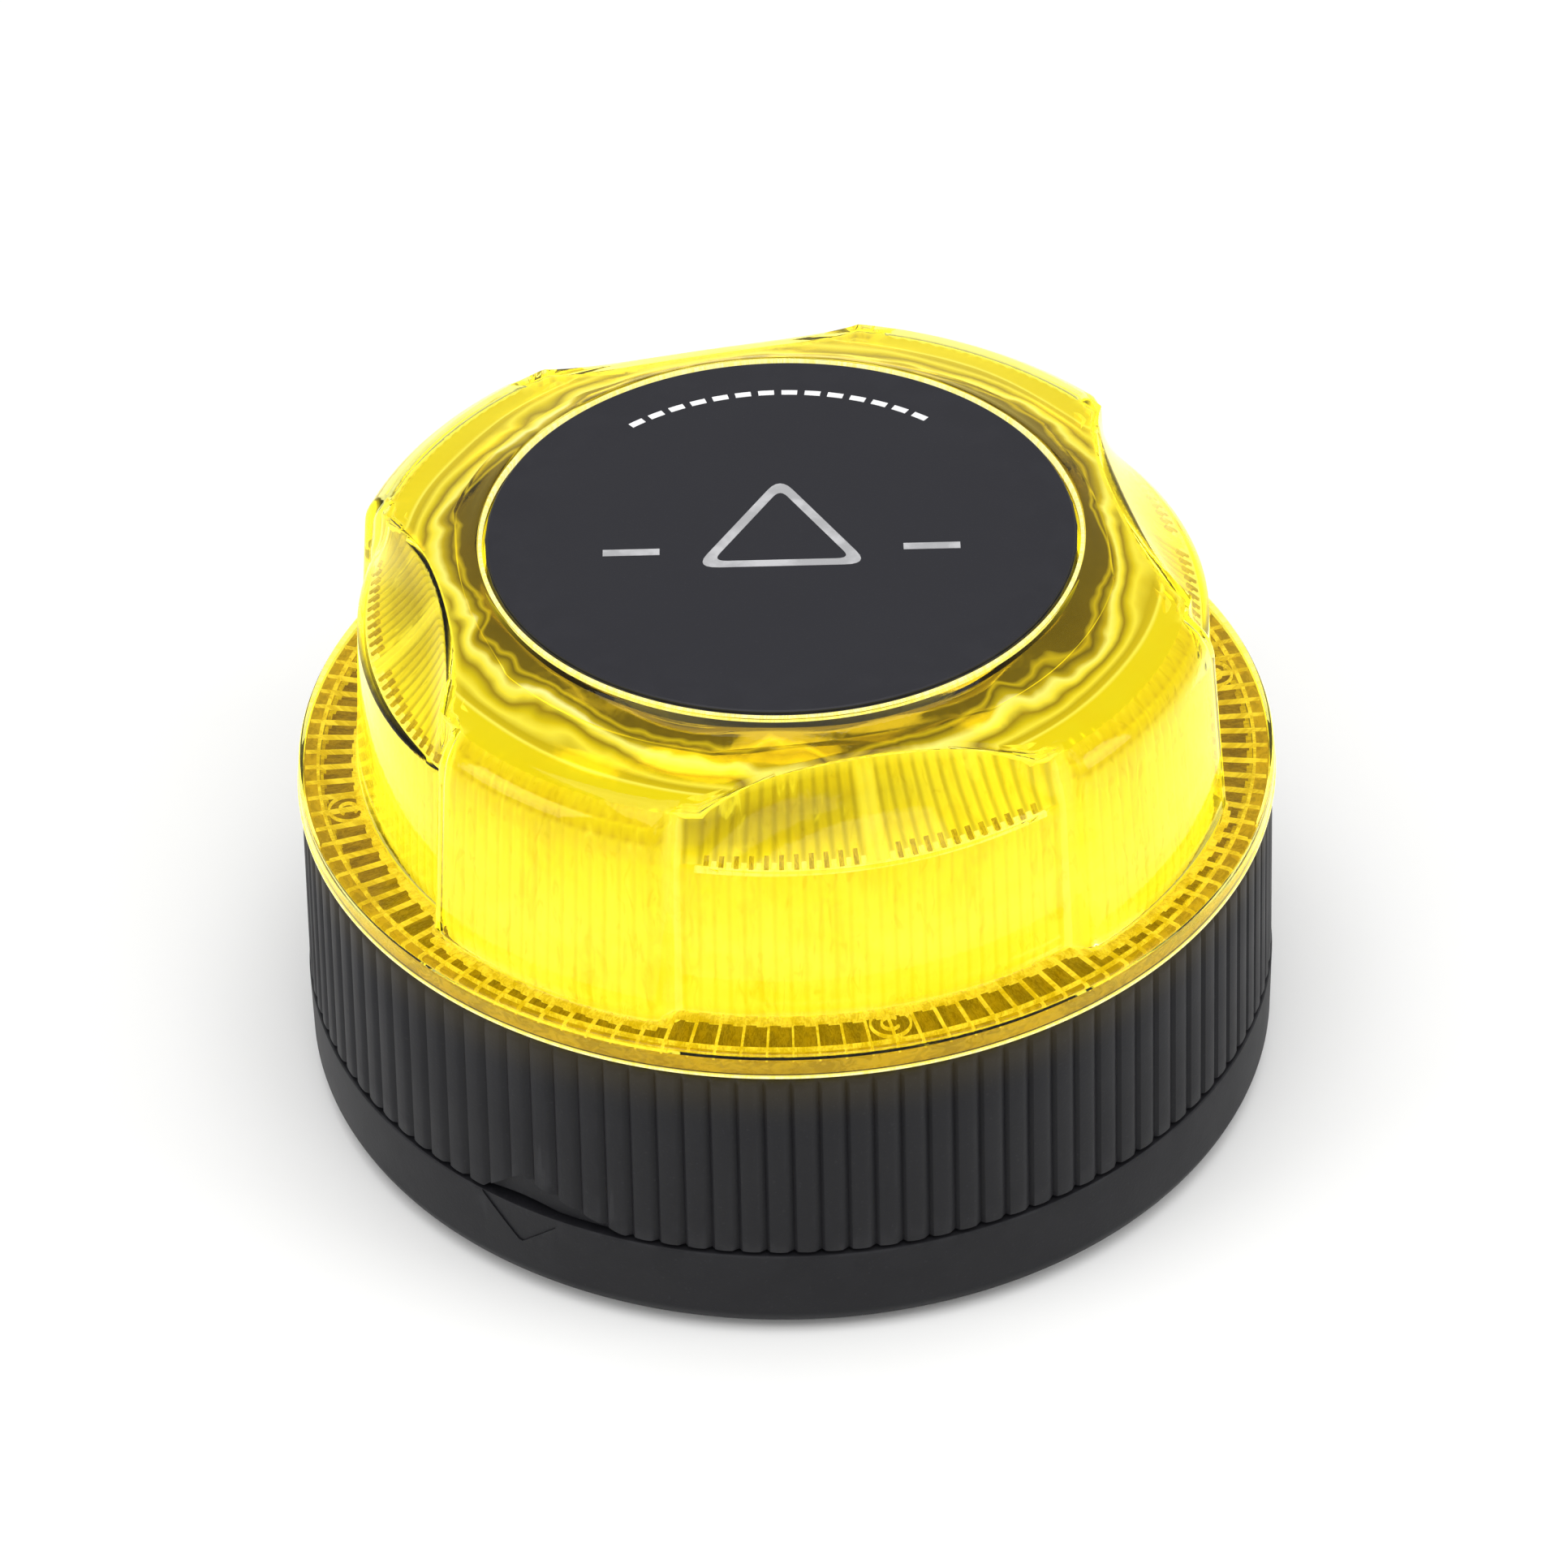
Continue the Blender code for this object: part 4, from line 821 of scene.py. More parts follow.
class Piece:
    """One visible object: its mesh, finish, body and what it stands for."""

    made: list[str] = []

    def __init__(self, name: str, points: np.ndarray, faces: Iterable[Sequence[int]]) -> None:
        """Make the mesh from millimetre points.

        Args:
            name: The piece's name.
            points: Its points, in millimetres.
            faces: Its faces as point numbers.
        """
        mesh = bpy.data.meshes.new(name)
        faces = faces.tolist() if isinstance(faces, np.ndarray) else list(faces)
        mesh.from_pydata((np.asarray(points, float).reshape(-1, 3) * MM).tolist(), [], faces)
        self.obj = bpy.data.objects.new(name, mesh)
        bpy.context.scene.collection.objects.link(self.obj)

    @classmethod
    def grid(cls, name: str, radius: np.ndarray, height: np.ndarray, bearings: np.ndarray,
             close_rows: bool = False) -> "Piece":
        """A closed band or ring from radii and heights on a grid.

        Args:
            name: The piece's name.
            radius: Radii, rows by columns.
            height: Heights, rows by columns.
            bearings: The columns' bearings.
            close_rows: True if the last row joins the first.

        Returns:
            The piece.
        """
        angle = np.radians(bearings - 90.0)[None, :]
        points = np.stack([radius * np.cos(angle), radius * np.sin(angle), height], -1)
        piece = cls(name, points, quads(*radius.shape, close_rows))
        return piece.faced_out()

    @classmethod
    def turned(cls, name: str, outline: Outline, steps: int = 192,
               centre: tuple[float, float] = (0.0, 0.0)) -> "Piece":
        """An outline turned round the axis. Ends on the axis are capped by a fan.

        Args:
            name: The piece's name.
            outline: (radius, height) points. It closes on itself unless both ends lie on the axis.
            steps: How many columns it has.
            centre: The axis's (x, y).

        Returns:
            The piece.
        """
        bm = bmesh.new()
        shape = np.array(outline, float)
        on_axis = shape[0, 0] < 1e-6 and shape[-1, 0] < 1e-6
        body = shape[1:-1] if on_axis else shape
        angle = np.linspace(0.0, math.tau, steps, endpoint=False)
        rings = [[bm.verts.new((centre[0] + r * math.cos(a), centre[1] + r * math.sin(a), z))
                  for a in angle] for r, z in body]
        pairs = list(zip(rings, rings[1:])) + ([] if on_axis else [(rings[-1], rings[0])])
        for ring, following in pairs:
            for k in range(steps):
                n = (k + 1) % steps
                bm.faces.new((ring[k], ring[n], following[n], following[k]))
        if on_axis:
            for ring, end in ((rings[0], shape[0]), (rings[-1], shape[-1])):
                tip = bm.verts.new((*centre, end[1]))
                for k in range(steps):
                    bm.faces.new((ring[k], ring[(k + 1) % steps], tip))
        return cls.from_bmesh(name, bm)

    @classmethod
    def from_bmesh(cls, name: str, bm: bmesh.types.BMesh) -> "Piece":
        """A piece from a bmesh in millimetres, which is used up."""
        bm.verts.index_update()
        points = np.array([v.co for v in bm.verts])
        piece = cls(name, points, [[v.index for v in f.verts] for f in bm.faces])
        bm.free()
        return piece.faced_out()

    @classmethod
    def bars(cls, name: str,
             sections: Iterable[Sequence[Sequence[tuple[float, float, float]]]]) -> "Piece":
        """Several closed bars, each given by its four-cornered cross-sections in order.

        Args:
            name: The piece's name.
            sections: For each bar, a list of rings of corners.

        Returns:
            The piece.
        """
        points, faces = [], []
        for bar in sections:
            start, size = len(points), len(bar[0])
            for ring in bar:
                points.extend(ring)
            for i in range(len(bar) - 1):
                for k in range(size):
                    n = (k + 1) % size
                    a, b = start + i * size, start + (i + 1) * size
                    faces.append((a + k, a + n, b + n, b + k))
            faces.append([start + k for k in range(size)][::-1])
            faces.append([start + (len(bar) - 1) * size + k for k in range(size)])
        return cls(name, np.array(points), faces).faced_out()

    def faced_out(self) -> "Piece":
        """Turn every face outwards."""
        bm = bmesh.new()
        bm.from_mesh(self.obj.data)
        bmesh.ops.recalc_face_normals(bm, faces=bm.faces)
        bm.to_mesh(self.obj.data)
        bm.free()
        return self

    def reading(self, name: str, values: np.ndarray) -> "Piece":
        """Store a number on every point, which the finish reads.

        Args:
            name: What the number is called.
            values: One value for each point.

        Returns:
            The same piece.
        """
        made = self.obj.data.attributes.new(name, "FLOAT", "POINT")
        made.data.foreach_set("value", np.asarray(values, np.float32).ravel())
        return self

    def cut(self, *tools: "Piece") -> "Piece":
        """Cut tools out of the piece and remove them.

        Args:
            tools: The pieces to cut with.

        Returns:
            The same piece.
        """
        for tool in tools:
            modifier = self.obj.modifiers.new("cut", "BOOLEAN")
            modifier.operation, modifier.solver, modifier.object = "DIFFERENCE", "EXACT", tool.obj
        bpy.context.view_layer.update()
        graph = bpy.context.evaluated_depsgraph_get()
        mesh = bpy.data.meshes.new_from_object(self.obj.evaluated_get(graph))
        self.obj.modifiers.clear()
        self.obj.data = mesh
        for tool in tools:
            bpy.data.objects.remove(tool.obj, do_unlink=True)
        return self

    def finish(self, look: Finish, body: Body, slot: str, replaces: Sequence[str] = (),
               smooth: float = 35.0) -> "Piece":
        """Dress the piece and fix it to its body.

        Args:
            look: Its finish.
            body: The body it rides on.
            slot: The record's material slot; not used.
            replaces: CAD nodes it stands for.
            smooth: The angle in degrees up to which edges look smooth.

        Returns:
            The same piece.
        """
        mesh = self.obj.data
        mesh.materials.clear()
        mesh.materials.append(look.build())
        mesh.shade_smooth()
        mesh.set_sharp_from_angle(angle=math.radians(smooth))
        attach(self.obj, body.value)
        if replaces:
            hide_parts(*replaces)
        self.made.append(self.obj.name)
        LOG.info("%s: %d faces, rides on %s", self.obj.name, len(mesh.polygons), body.value)
        return self


# Lens ---------------------------------------------------------------------------------------------


@dataclass
class LensGrid:
    """Radii, heights and in-plane normals of the lens's outside, rows by columns."""

    radius: np.ndarray
    height: np.ndarray
    zones: np.ndarray
    share: np.ndarray
    bearings: np.ndarray

    def normals(self) -> tuple[np.ndarray, np.ndarray]:
        """The outward direction in the (radius, height) plane.

        Returns:
            Its radial and upright parts, rows by columns.
        """
        along_r = np.gradient(self.radius, axis=0)
        along_z = np.gradient(self.height, axis=0)
        length = np.hypot(along_r, along_z)
        return along_z / length, -along_r / length

    def inset(self, depth: np.ndarray | float) -> tuple[np.ndarray, np.ndarray]:
        """Radii and heights at a depth under the surface."""
        out, up = self.normals()
        return self.radius - out * depth, self.height - up * depth


@dataclass
class Lens:
    """The amber lens: four lobes with a scooped window between each two, on a ribbed flange."""

    base: float
    radius: float
    flange: float = 2.6
    window_bearing: float = 12.0
    window_half: float = 26.0
    lobe_edge: float = 29.0
    lobe_foot: float = 44.2
    lobe_draft: float = 0.0935
    window_foot: float = 42.0
    window_draft: float = 0.063
    ledge: float = 50.5
    scoop_top: float = 33.6
    scoop_side: float = 43.2
    scoop_power: float = 2.0
    crown_start: tuple[float, float] = (30.4, 58.8)
    crown_slope: float = 0.30
    crown_bend: float = 0.00625
    crown_edge: float = 39.6
    shoulder: Outline = ((42.45, 53.6), (41.5, 55.3))
    shoulder_rows: int = 14
    bore: float = 28.6
    shelf: tuple[float, float, float] = (25.0, 54.3, 52.8)
    wall: float = 1.1
    flutes: int = 180
    flute_depth: float = 0.10
    cell_rows: tuple[tuple[float, float], ...] = ((53.0, 55.2), (55.2, 56.5))
    cell_depth: float = 0.30
    sleeve_depth: float = 1.55
    glow_depth: float = 1.18
    columns: int = 720
    plate: float = 0.9
    wall_heights: tuple[float, ...] = (
        35.2, 36.2, 38.5, 41.0, 43.5, 45.6, 47.6, 48.8, 49.6, 50.1, 50.5)
    crown_rows: int = 9
    ribs: int = 120
    track: float = 45.9
    rib_end: float = 47.1

    def crown(self, radius: np.ndarray | float) -> np.ndarray | float:
        """Height of the crown at a radius."""
        out = radius - self.crown_start[0]
        return self.crown_start[1] - self.crown_slope * out + self.crown_bend * out * out

    def offsets(self, bearings: np.ndarray) -> np.ndarray:
        """How far each bearing is from the nearest window's middle, from -45 to 45."""
        return (bearings - self.window_bearing + 45.0) % 90.0 - 45.0

    def window_share(self, offset: np.ndarray, spread: float = 0.0) -> np.ndarray:
        """0 on a lobe and 1 in a window.

        Args:
            offset: Offsets from the nearest window's middle.
            spread: How much wider than the real edge the change is, on each side.

        Returns:
            The share at each offset.
        """
        inner, outer = self.window_half - spread, self.lobe_edge + spread
        share = np.clip((outer - np.abs(offset)) / (outer - inner), 0.0, 1.0)
        return share * share * (3.0 - 2.0 * share)

    def scoop_radius(self, offset: np.ndarray) -> np.ndarray:
        """Radius at which a window's scoop meets the crown."""
        share = np.clip(np.abs(offset) / self.window_half, 0.0, 1.0)
        rise = (1.0 - share**self.scoop_power) ** (1.0 / self.scoop_power)
        return self.scoop_side - (self.scoop_side - self.scoop_top) * rise

    def outside(self, spread: float = 0.0) -> LensGrid:
        """The lens's outside from the wall's foot to the crown's inner end.

        Args:
            spread: How much softer than the real ones the window edges are.

        Returns:
            The grid.
        """
        bearings = np.array(ring_points(self.columns))
        offset = self.offsets(bearings)
        share = self.window_share(offset, spread)
        top = self.base + self.flange
        heights = np.array(self.wall_heights)[:, None] + np.zeros_like(offset)
        lobe = self.lobe_foot - self.lobe_draft * (heights - top)
        window = self.window_foot - self.window_draft * (heights - top)
        rows_r = [lobe + (window - lobe) * share]
        rows_z = [heights]
        corners = [(self.lobe_foot - self.lobe_draft * (self.ledge - top), self.ledge), *self.shoulder,
                   (self.crown_edge, float(self.crown(self.crown_edge)))]
        shoulder = evenly(rounded(corners, 1.0, 3), self.shoulder_rows + 1)[1:]
        meet = np.minimum(self.scoop_radius(offset), self.crown_edge)
        meet_z = self.crown(meet)
        ledge_r = self.window_foot - self.window_draft * (self.ledge - top)
        for k, point in enumerate(shoulder):
            t = (k + 1) / len(shoulder)
            sag = 0.35 * math.sin(math.pi * t)
            w_r = ledge_r + (meet - ledge_r) * t - sag
            w_z = self.ledge + (meet_z - self.ledge) * t - sag
            rows_r.append((point[0] + (w_r - point[0]) * share)[None])
            rows_z.append((point[1] + (w_z - point[1]) * share)[None])
        last = rows_r[-1][0]
        for k in range(1, self.crown_rows + 1):
            r = last + (self.crown_start[0] - last) * k / self.crown_rows
            rows_r.append(r[None])
            rows_z.append(self.crown(r)[None])
        zones = np.array([Zone.WALL.value] * len(self.wall_heights)
                         + [Zone.UPPER.value] * len(shoulder) + [Zone.CROWN.value] * self.crown_rows)
        return LensGrid(np.vstack(rows_r), np.vstack(rows_z), zones, share, bearings)

    def cells(self, grid: LensGrid) -> np.ndarray:
        """Two stepped rows of small cells on each lobe's shoulder, 1 at the deep end of a cell.

        Args:
            grid: The grid that the sleeve follows.

        Returns:
            The value at each grid point.
        """
        wave = np.cos(np.radians(grid.bearings) * self.flutes)
        upper = (grid.zones == Zone.UPPER.value)[:, None]
        found = np.zeros_like(grid.height)
        for low, high in self.cell_rows:
            step = np.clip((high - grid.height) / (high - low), 0.0, 1.0) * (grid.height > low)
            found += step * (1.0 - grid.share)[None] * (0.6 - 0.4 * wave)[None] * upper
        return found

    def frame(self, grid: LensGrid) -> np.ndarray:
        """Closeness to the bar that frames each window and to the strip up the scoop's middle.

        Args:
            grid: The grid that the sleeve follows.

        Returns:
            1 on a bar and 0 away from it, at each grid point.
        """
        offset = np.abs(self.offsets(grid.bearings))[None]
        upright = (grid.zones != Zone.CROWN.value)[:, None]
        upper = (grid.zones == Zone.UPPER.value)[:, None]
        sides = np.clip(1.6 - np.abs(offset - self.window_half - 1.5) / 0.9, 0.0, 1.0) * upright
        meet = np.minimum(self.scoop_radius(offset), self.crown_edge)
        away = np.hypot(grid.radius - meet, grid.height - self.crown(meet))
        arc = np.clip(1.6 - away / 0.7, 0.0, 1.0) * (offset < self.lobe_edge)
        strip = np.clip((1.7 - offset) / 0.5, 0.0, 1.0) * upper
        return np.maximum(np.maximum(sides, arc), 0.8 * strip)

    def build(self) -> None:
        """Build and dress every piece of the lens."""
        grid = self.outside()
        self.shell(grid)
        self.lining()
        self.rim()
        self.ledge_cells(grid)
        self.flange_ribs(grid)
        self.flange_floor()
        self.boss_rings()

    def shell(self, grid: LensGrid) -> None:
        """The clear shell as one closed body.

        Args:
            grid: The lens's outside.
        """
        top = self.base + self.flange
        skirt = self.radius - 0.7
        under = top - self.plate
        one = np.ones(self.columns)

        def ring(radius: np.ndarray | float,
                 height: np.ndarray | float) -> tuple[np.ndarray, np.ndarray]:
            """A ring's radii and heights, one to a column."""
            return radius * one, height * one

        edge = rounded([(skirt, self.base), (self.radius, self.base), (self.radius - 0.25, top),
                        (self.radius - 2.0, top)], 0.25, 2)
        foot = grid.radius[0]
        rings = [ring(r, z) for r, z in edge]
        rings += [ring(foot + 0.8, top), ring(foot + 0.3, top + 0.05), ring(foot + 0.08, top + 0.25)]
        rings += list(zip(grid.radius, grid.height))
        lip = rounded([self.crown_start, (29.6, 59.15), (29.05, 59.32), (29.0, 58.9),
                       (self.bore, 58.4), (self.bore, 58.0)], 0.3, 3)[1:]
        rings += [ring(r, z) for r, z in lip]
        inner, shelf_top, shelf_base = self.shelf
        shelf = ((self.bore, shelf_top), (inner, shelf_top), (inner, shelf_base))
        rings += [ring(r, z) for r, z in shelf]
        inside_r, inside_z = grid.inset(self.wall)
        inside = list(zip(inside_r, inside_z))[::-1]
        rings += [ring(29.5, shelf_base)]
        rings += inside[2:]
        foot_inside = inside_r[0]
        rings += [ring(foot_inside, under), ring(skirt, under)]
        radius = np.vstack([r for r, _ in rings])
        height = np.vstack([z for _, z in rings])
        shell = Piece.grid("lens_shell", radius, height, grid.bearings, close_rows=True)
        shell.finish(LENS, Body.HOUSING, "amber_lens", ("lens",), smooth=60.0)

    def lining(self) -> None:
        """The lit sleeve behind the walls and the liner under the crown with its painted reflections."""
        soft = self.outside(spread=1.5)
        foot_rows = np.array([self.base + 0.2, self.base + 1.7])
        soft.radius = np.vstack([np.tile(soft.radius[0], (2, 1)), soft.radius])
        soft.height = np.vstack([np.tile(foot_rows[:, None], (1, self.columns)), soft.height])
        soft.zones = np.concatenate([[Zone.WALL.value] * 2, soft.zones])
        inner = 29.25
        soft.radius = np.vstack([soft.radius, np.full((1, self.columns), inner)])
        soft.height = np.vstack([soft.height, np.full((1, self.columns), self.crown_start[1] + 0.3)])
        soft.zones = np.append(soft.zones, Zone.CROWN.value)
        walls = int((soft.zones == Zone.WALL.value).sum())
        count = int((soft.zones < Zone.CROWN.value).sum())
        climb = np.clip((soft.height[:, 0] - self.base) / (self.ledge - self.base), 0.0, 1.0)
        climb[walls:count] = 1.0 + np.linspace(0.1, 1.0, count - walls)
        angle = np.radians(soft.bearings)[None]
        ripple = 0.16 * np.sin(7.0 * angle + 0.8 * soft.radius)
        ripple = ripple + 0.10 * np.sin(13.0 * angle - 1.1 * soft.radius)
        ripple *= (np.arange(len(soft.zones)) >= count)[:, None]
        upright = (soft.zones != Zone.CROWN.value)[:, None]
        wave = np.cos(np.radians(soft.bearings) * self.flutes)[None] * upright
        cells, frame = self.cells(soft), self.frame(soft)
        relief = self.flute_depth * wave + self.cell_depth * cells + ripple * (1.0 - frame)
        front = np.maximum(self.sleeve_depth + relief - 0.3 * frame, self.glow_depth)
        radius, height = soft.inset(front)
        back_r, back_z = soft.inset(self.sleeve_depth + 1.0)
        marks = {"frame": frame, "cell": cells}
        self.skin("light_sleeve", radius[:count], height[:count], back_r[:count], back_z[:count], soft,
                  climb[:count], {name: value[:count] for name, value in marks.items()}, SLEEVE)
        crown = slice(count - 1, None)
        reach = (soft.radius[crown] - inner) / (self.crown_edge - inner)
        self.skin("crown_liner", radius[crown], height[crown], back_r[crown], back_z[crown], soft,
                  reach, {name: value[crown] for name, value in marks.items()}, LINER)

    def skin(self, name: str, radius: np.ndarray, height: np.ndarray, back_r: np.ndarray,
             back_z: np.ndarray, grid: LensGrid, climb: np.ndarray, marks: dict[str, np.ndarray],
             look: Finish) -> None:
        """A thin closed skin inside the lens, with its climb and window share stored on it.

        Args:
            name: The piece's name.
            radius: Radii of its front.
            height: Heights of its front.
            back_r: Radii of its back.
            back_z: Heights of its back.
            grid: The grid that it follows.
            climb: How far up each row lies.
            marks: More named values to store, rows by columns.
            look: Its finish.
        """
        rows_r, rows_z = np.vstack([radius, back_r[::-1]]), np.vstack([height, back_z[::-1]])
        piece = Piece.grid(name, rows_r, rows_z, grid.bearings, close_rows=True)
        across = climb if climb.ndim == 2 else np.tile(climb[:, None], (1, self.columns))
        offset = self.offsets(grid.bearings)
        rows = 2 * len(across)
        for mark, values in {"climb": across, **marks}.items():
            piece.reading(mark, np.vstack([values, values[::-1]]))
        piece.reading("window", np.tile(grid.share, rows))
        piece.reading("flute", np.tile(np.cos(np.radians(grid.bearings) * self.flutes), rows))
        piece.reading("side", np.tile(np.clip(offset / self.window_half, -1.0, 1.0), rows))
        piece.finish(look, Body.HOUSING, "amber_lens", smooth=60.0)

    def rim(self) -> None:
        """The lit lip round the button."""
        outline = rounded([(28.62, 58.6), (28.62, 59.30), (28.92, 59.30), (28.98, 58.6)], 0.10, 2)
        Piece.turned("lens_rim_light", outline, 256).finish(GLINT, Body.HOUSING, "amber_lens")

    def ledge_cells(self, grid: LensGrid) -> None:
        """The band of small lit cells on each window's ledge, and the line under it.

        Args:
            grid: The lens's outside.
        """
        front, back = grid.inset(self.glow_depth), grid.inset(self.glow_depth + 0.3)
        wall_top = int((grid.zones == Zone.WALL.value).sum()) - 1
        bright, dull = [], []
        for middle in ring_points(4, self.window_bearing):
            turns = middle + np.linspace(-24.5, 24.5, 50)
            line = (wall_top - 2, wall_top - 1)
            bright.append([self.corners(front, back, turn, 0.0, line) for turn in turns])
            for k in range(-23, 24):
                if abs(k) < 2:
                    continue
                ends = [self.corners(front, back, middle + k, 0.32, (row, row))
                        for row in range(wall_top + 1, wall_top + 3 + k % 2)]
                (dull if k % 2 else bright).append(ends)
        Piece.bars("ledge_cells_bright", bright).finish(GLINT, Body.HOUSING, "amber_lens")
        Piece.bars("ledge_cells_deep", dull).finish(BLOCK, Body.HOUSING, "amber_lens")

    def corners(self, front: tuple[np.ndarray, np.ndarray], back: tuple[np.ndarray, np.ndarray],
                turn: float, half: float, rows: tuple[int, int]) -> list[tuple[float, float, float]]:
        """Four corners of a bar that lies just behind the shell.

        Args:
            front: Radii and heights of its front.
            back: Radii and heights of its back.
            turn: Its bearing.
            half: Half its width, in degrees; 0 for a bar that runs round the lens.
            rows: The grid rows of its lower and upper edge.

        Returns:
            The corners, in order.
        """
        column = round((turn % 360.0) * self.columns / 360.0) % self.columns
        low, high = rows
        sides = ((front, low, -half), (front, high, half), (back, high, half), (back, low, -half))
        return [(*around(turn + side, float(skin[0][row, column])), float(skin[1][row, column]))
                for skin, row, side in sides]

    def flange_ribs(self, grid: LensGrid) -> None:
        """Thin lit ribs under the flange, the round track they cross and the line at its foot.

        Args:
            grid: The lens's outside.
        """
        top = self.base + self.flange - self.plate - 0.08
        bars = []
        foot = np.interp(ring_points(self.ribs), grid.bearings, grid.radius[0])
        for bearing, start in zip(ring_points(self.ribs), foot):
            bars.append(self.flat_bar(bearing, 0.10, start - 0.4, self.rib_end, top - 0.5, top))
        bars += self.hoop(self.track - 0.14, self.track + 0.14, top - 0.5, top - 0.02)
        steps = ring_points(2 * self.ribs, 0.75)
        for k, bearing in enumerate(steps):
            wall_foot = float(np.interp(bearing % 360.0, grid.bearings, grid.radius[0]))
            start = wall_foot + 0.05 + 0.22 * (k % 2)
            bars.append(self.flat_bar(bearing, 0.56, start - 0.8, start + 0.3, top - 0.4, top - 0.06))
        Piece.bars("flange_ribs", bars).finish(RIB, Body.HOUSING, "amber_lens", smooth=30.0)

    def flat_bar(self, bearing: float, half: float, inner: float, outer: float, low: float,
                 high: float) -> list[list[tuple[float, float, float]]]:
        """A straight radial bar.

        Args:
            bearing: Its bearing.
            half: Half its width.
            inner: The radius it starts at.
            outer: The radius it ends at.
            low: Its underside.
            high: Its top.

        Returns:
            Its two end rings.
        """
        ends = []
        for r in (inner, outer):
            turn = math.degrees(half / r)
            ends.append([(*around(bearing - turn, r), low), (*around(bearing + turn, r), low),
                         (*around(bearing + turn, r), high), (*around(bearing - turn, r), high)])
        return ends

    def hoop(self, inner: float, outer: float, low: float, high: float) -> list[list[list[tuple]]]:
        """A flat hoop as one long bar that meets itself.

        Args:
            inner: Its inner radius.
            outer: Its outer radius.
            low: Its underside.
            high: Its top.

        Returns:
            A list that holds the one bar.
        """
        return [[[(*around(b, inner), low), (*around(b, outer), low), (*around(b, outer), high),
                  (*around(b, inner), high)] for b in np.linspace(0.0, 359.99, 241)]]

    def flange_floor(self) -> None:
        """What is seen through the flange, all glowing with painted light: its brown floor, amber blocks,
        plain margin and the line at its edge.
        """
        floor = [(40.5, 32.02), (45.8, 32.02), (45.8, 32.2), (40.5, 32.2)]
        Piece.turned("flange_floor", floor, 240).finish(FLOOR, Body.HOUSING, "amber_lens")
        margin = [(self.track + 0.1, 32.04), (47.22, 32.04), (47.22, 33.3), (self.track + 0.1, 33.3)]
        Piece.turned("flange_margin", margin, 240).finish(MARGIN, Body.HOUSING, "amber_lens")
        line = [(self.radius - 0.32, self.base - 0.02), (self.radius + 0.02, self.base - 0.02),
                (self.radius + 0.02, self.base + 0.17), (self.radius - 0.32, self.base + 0.17)]
        Piece.turned("flange_edge_light", line, 256).finish(GLINT, Body.HOUSING, "amber_lens")
        blocks = []
        for k, bearing in enumerate(ring_points(2 * self.ribs, 0.75)):
            inner = 45.15 if k % 2 else 45.4
            high = 33.0 - 0.2 * (k % 2)
            blocks.append(self.flat_bar(bearing, 0.52, inner, self.track - 0.2, 32.5, high))
        Piece.bars("flange_blocks", blocks).finish(BLOCK, Body.HOUSING, "amber_lens", smooth=30.0)

    def boss_rings(self) -> None:
        """The screw bosses seen through the flange as rings of painted light, each a ring round a smaller
        open one.
        """
        bars = []
        height = self.base + self.flange - self.plate - 0.1
        for middle in ring_points(4, self.window_bearing):
            centre = Vector((*around(middle, 43.5), height))
            for radius, start, end in ((1.9, 0.0, 359.9), (0.85, 40.0, 320.0)):
                ring = []
                for a in np.linspace(start + middle, end + middle, 33):
                    out = Vector((math.cos(math.radians(a)), math.sin(math.radians(a)), 0.0))
                    inner, outer = radius - 0.1, radius + 0.1
                    corners = ((inner, -0.3), (outer, -0.3), (outer, 0.0), (inner, 0.0))
                    ring.append([tuple(centre + out * r + Vector((0, 0, z))) for r, z in corners])
                bars.append(ring)
        Piece.bars("boss_rings", bars).finish(RIB, Body.HOUSING, "amber_lens")


# Button -------------------------------------------------------------------------------------------


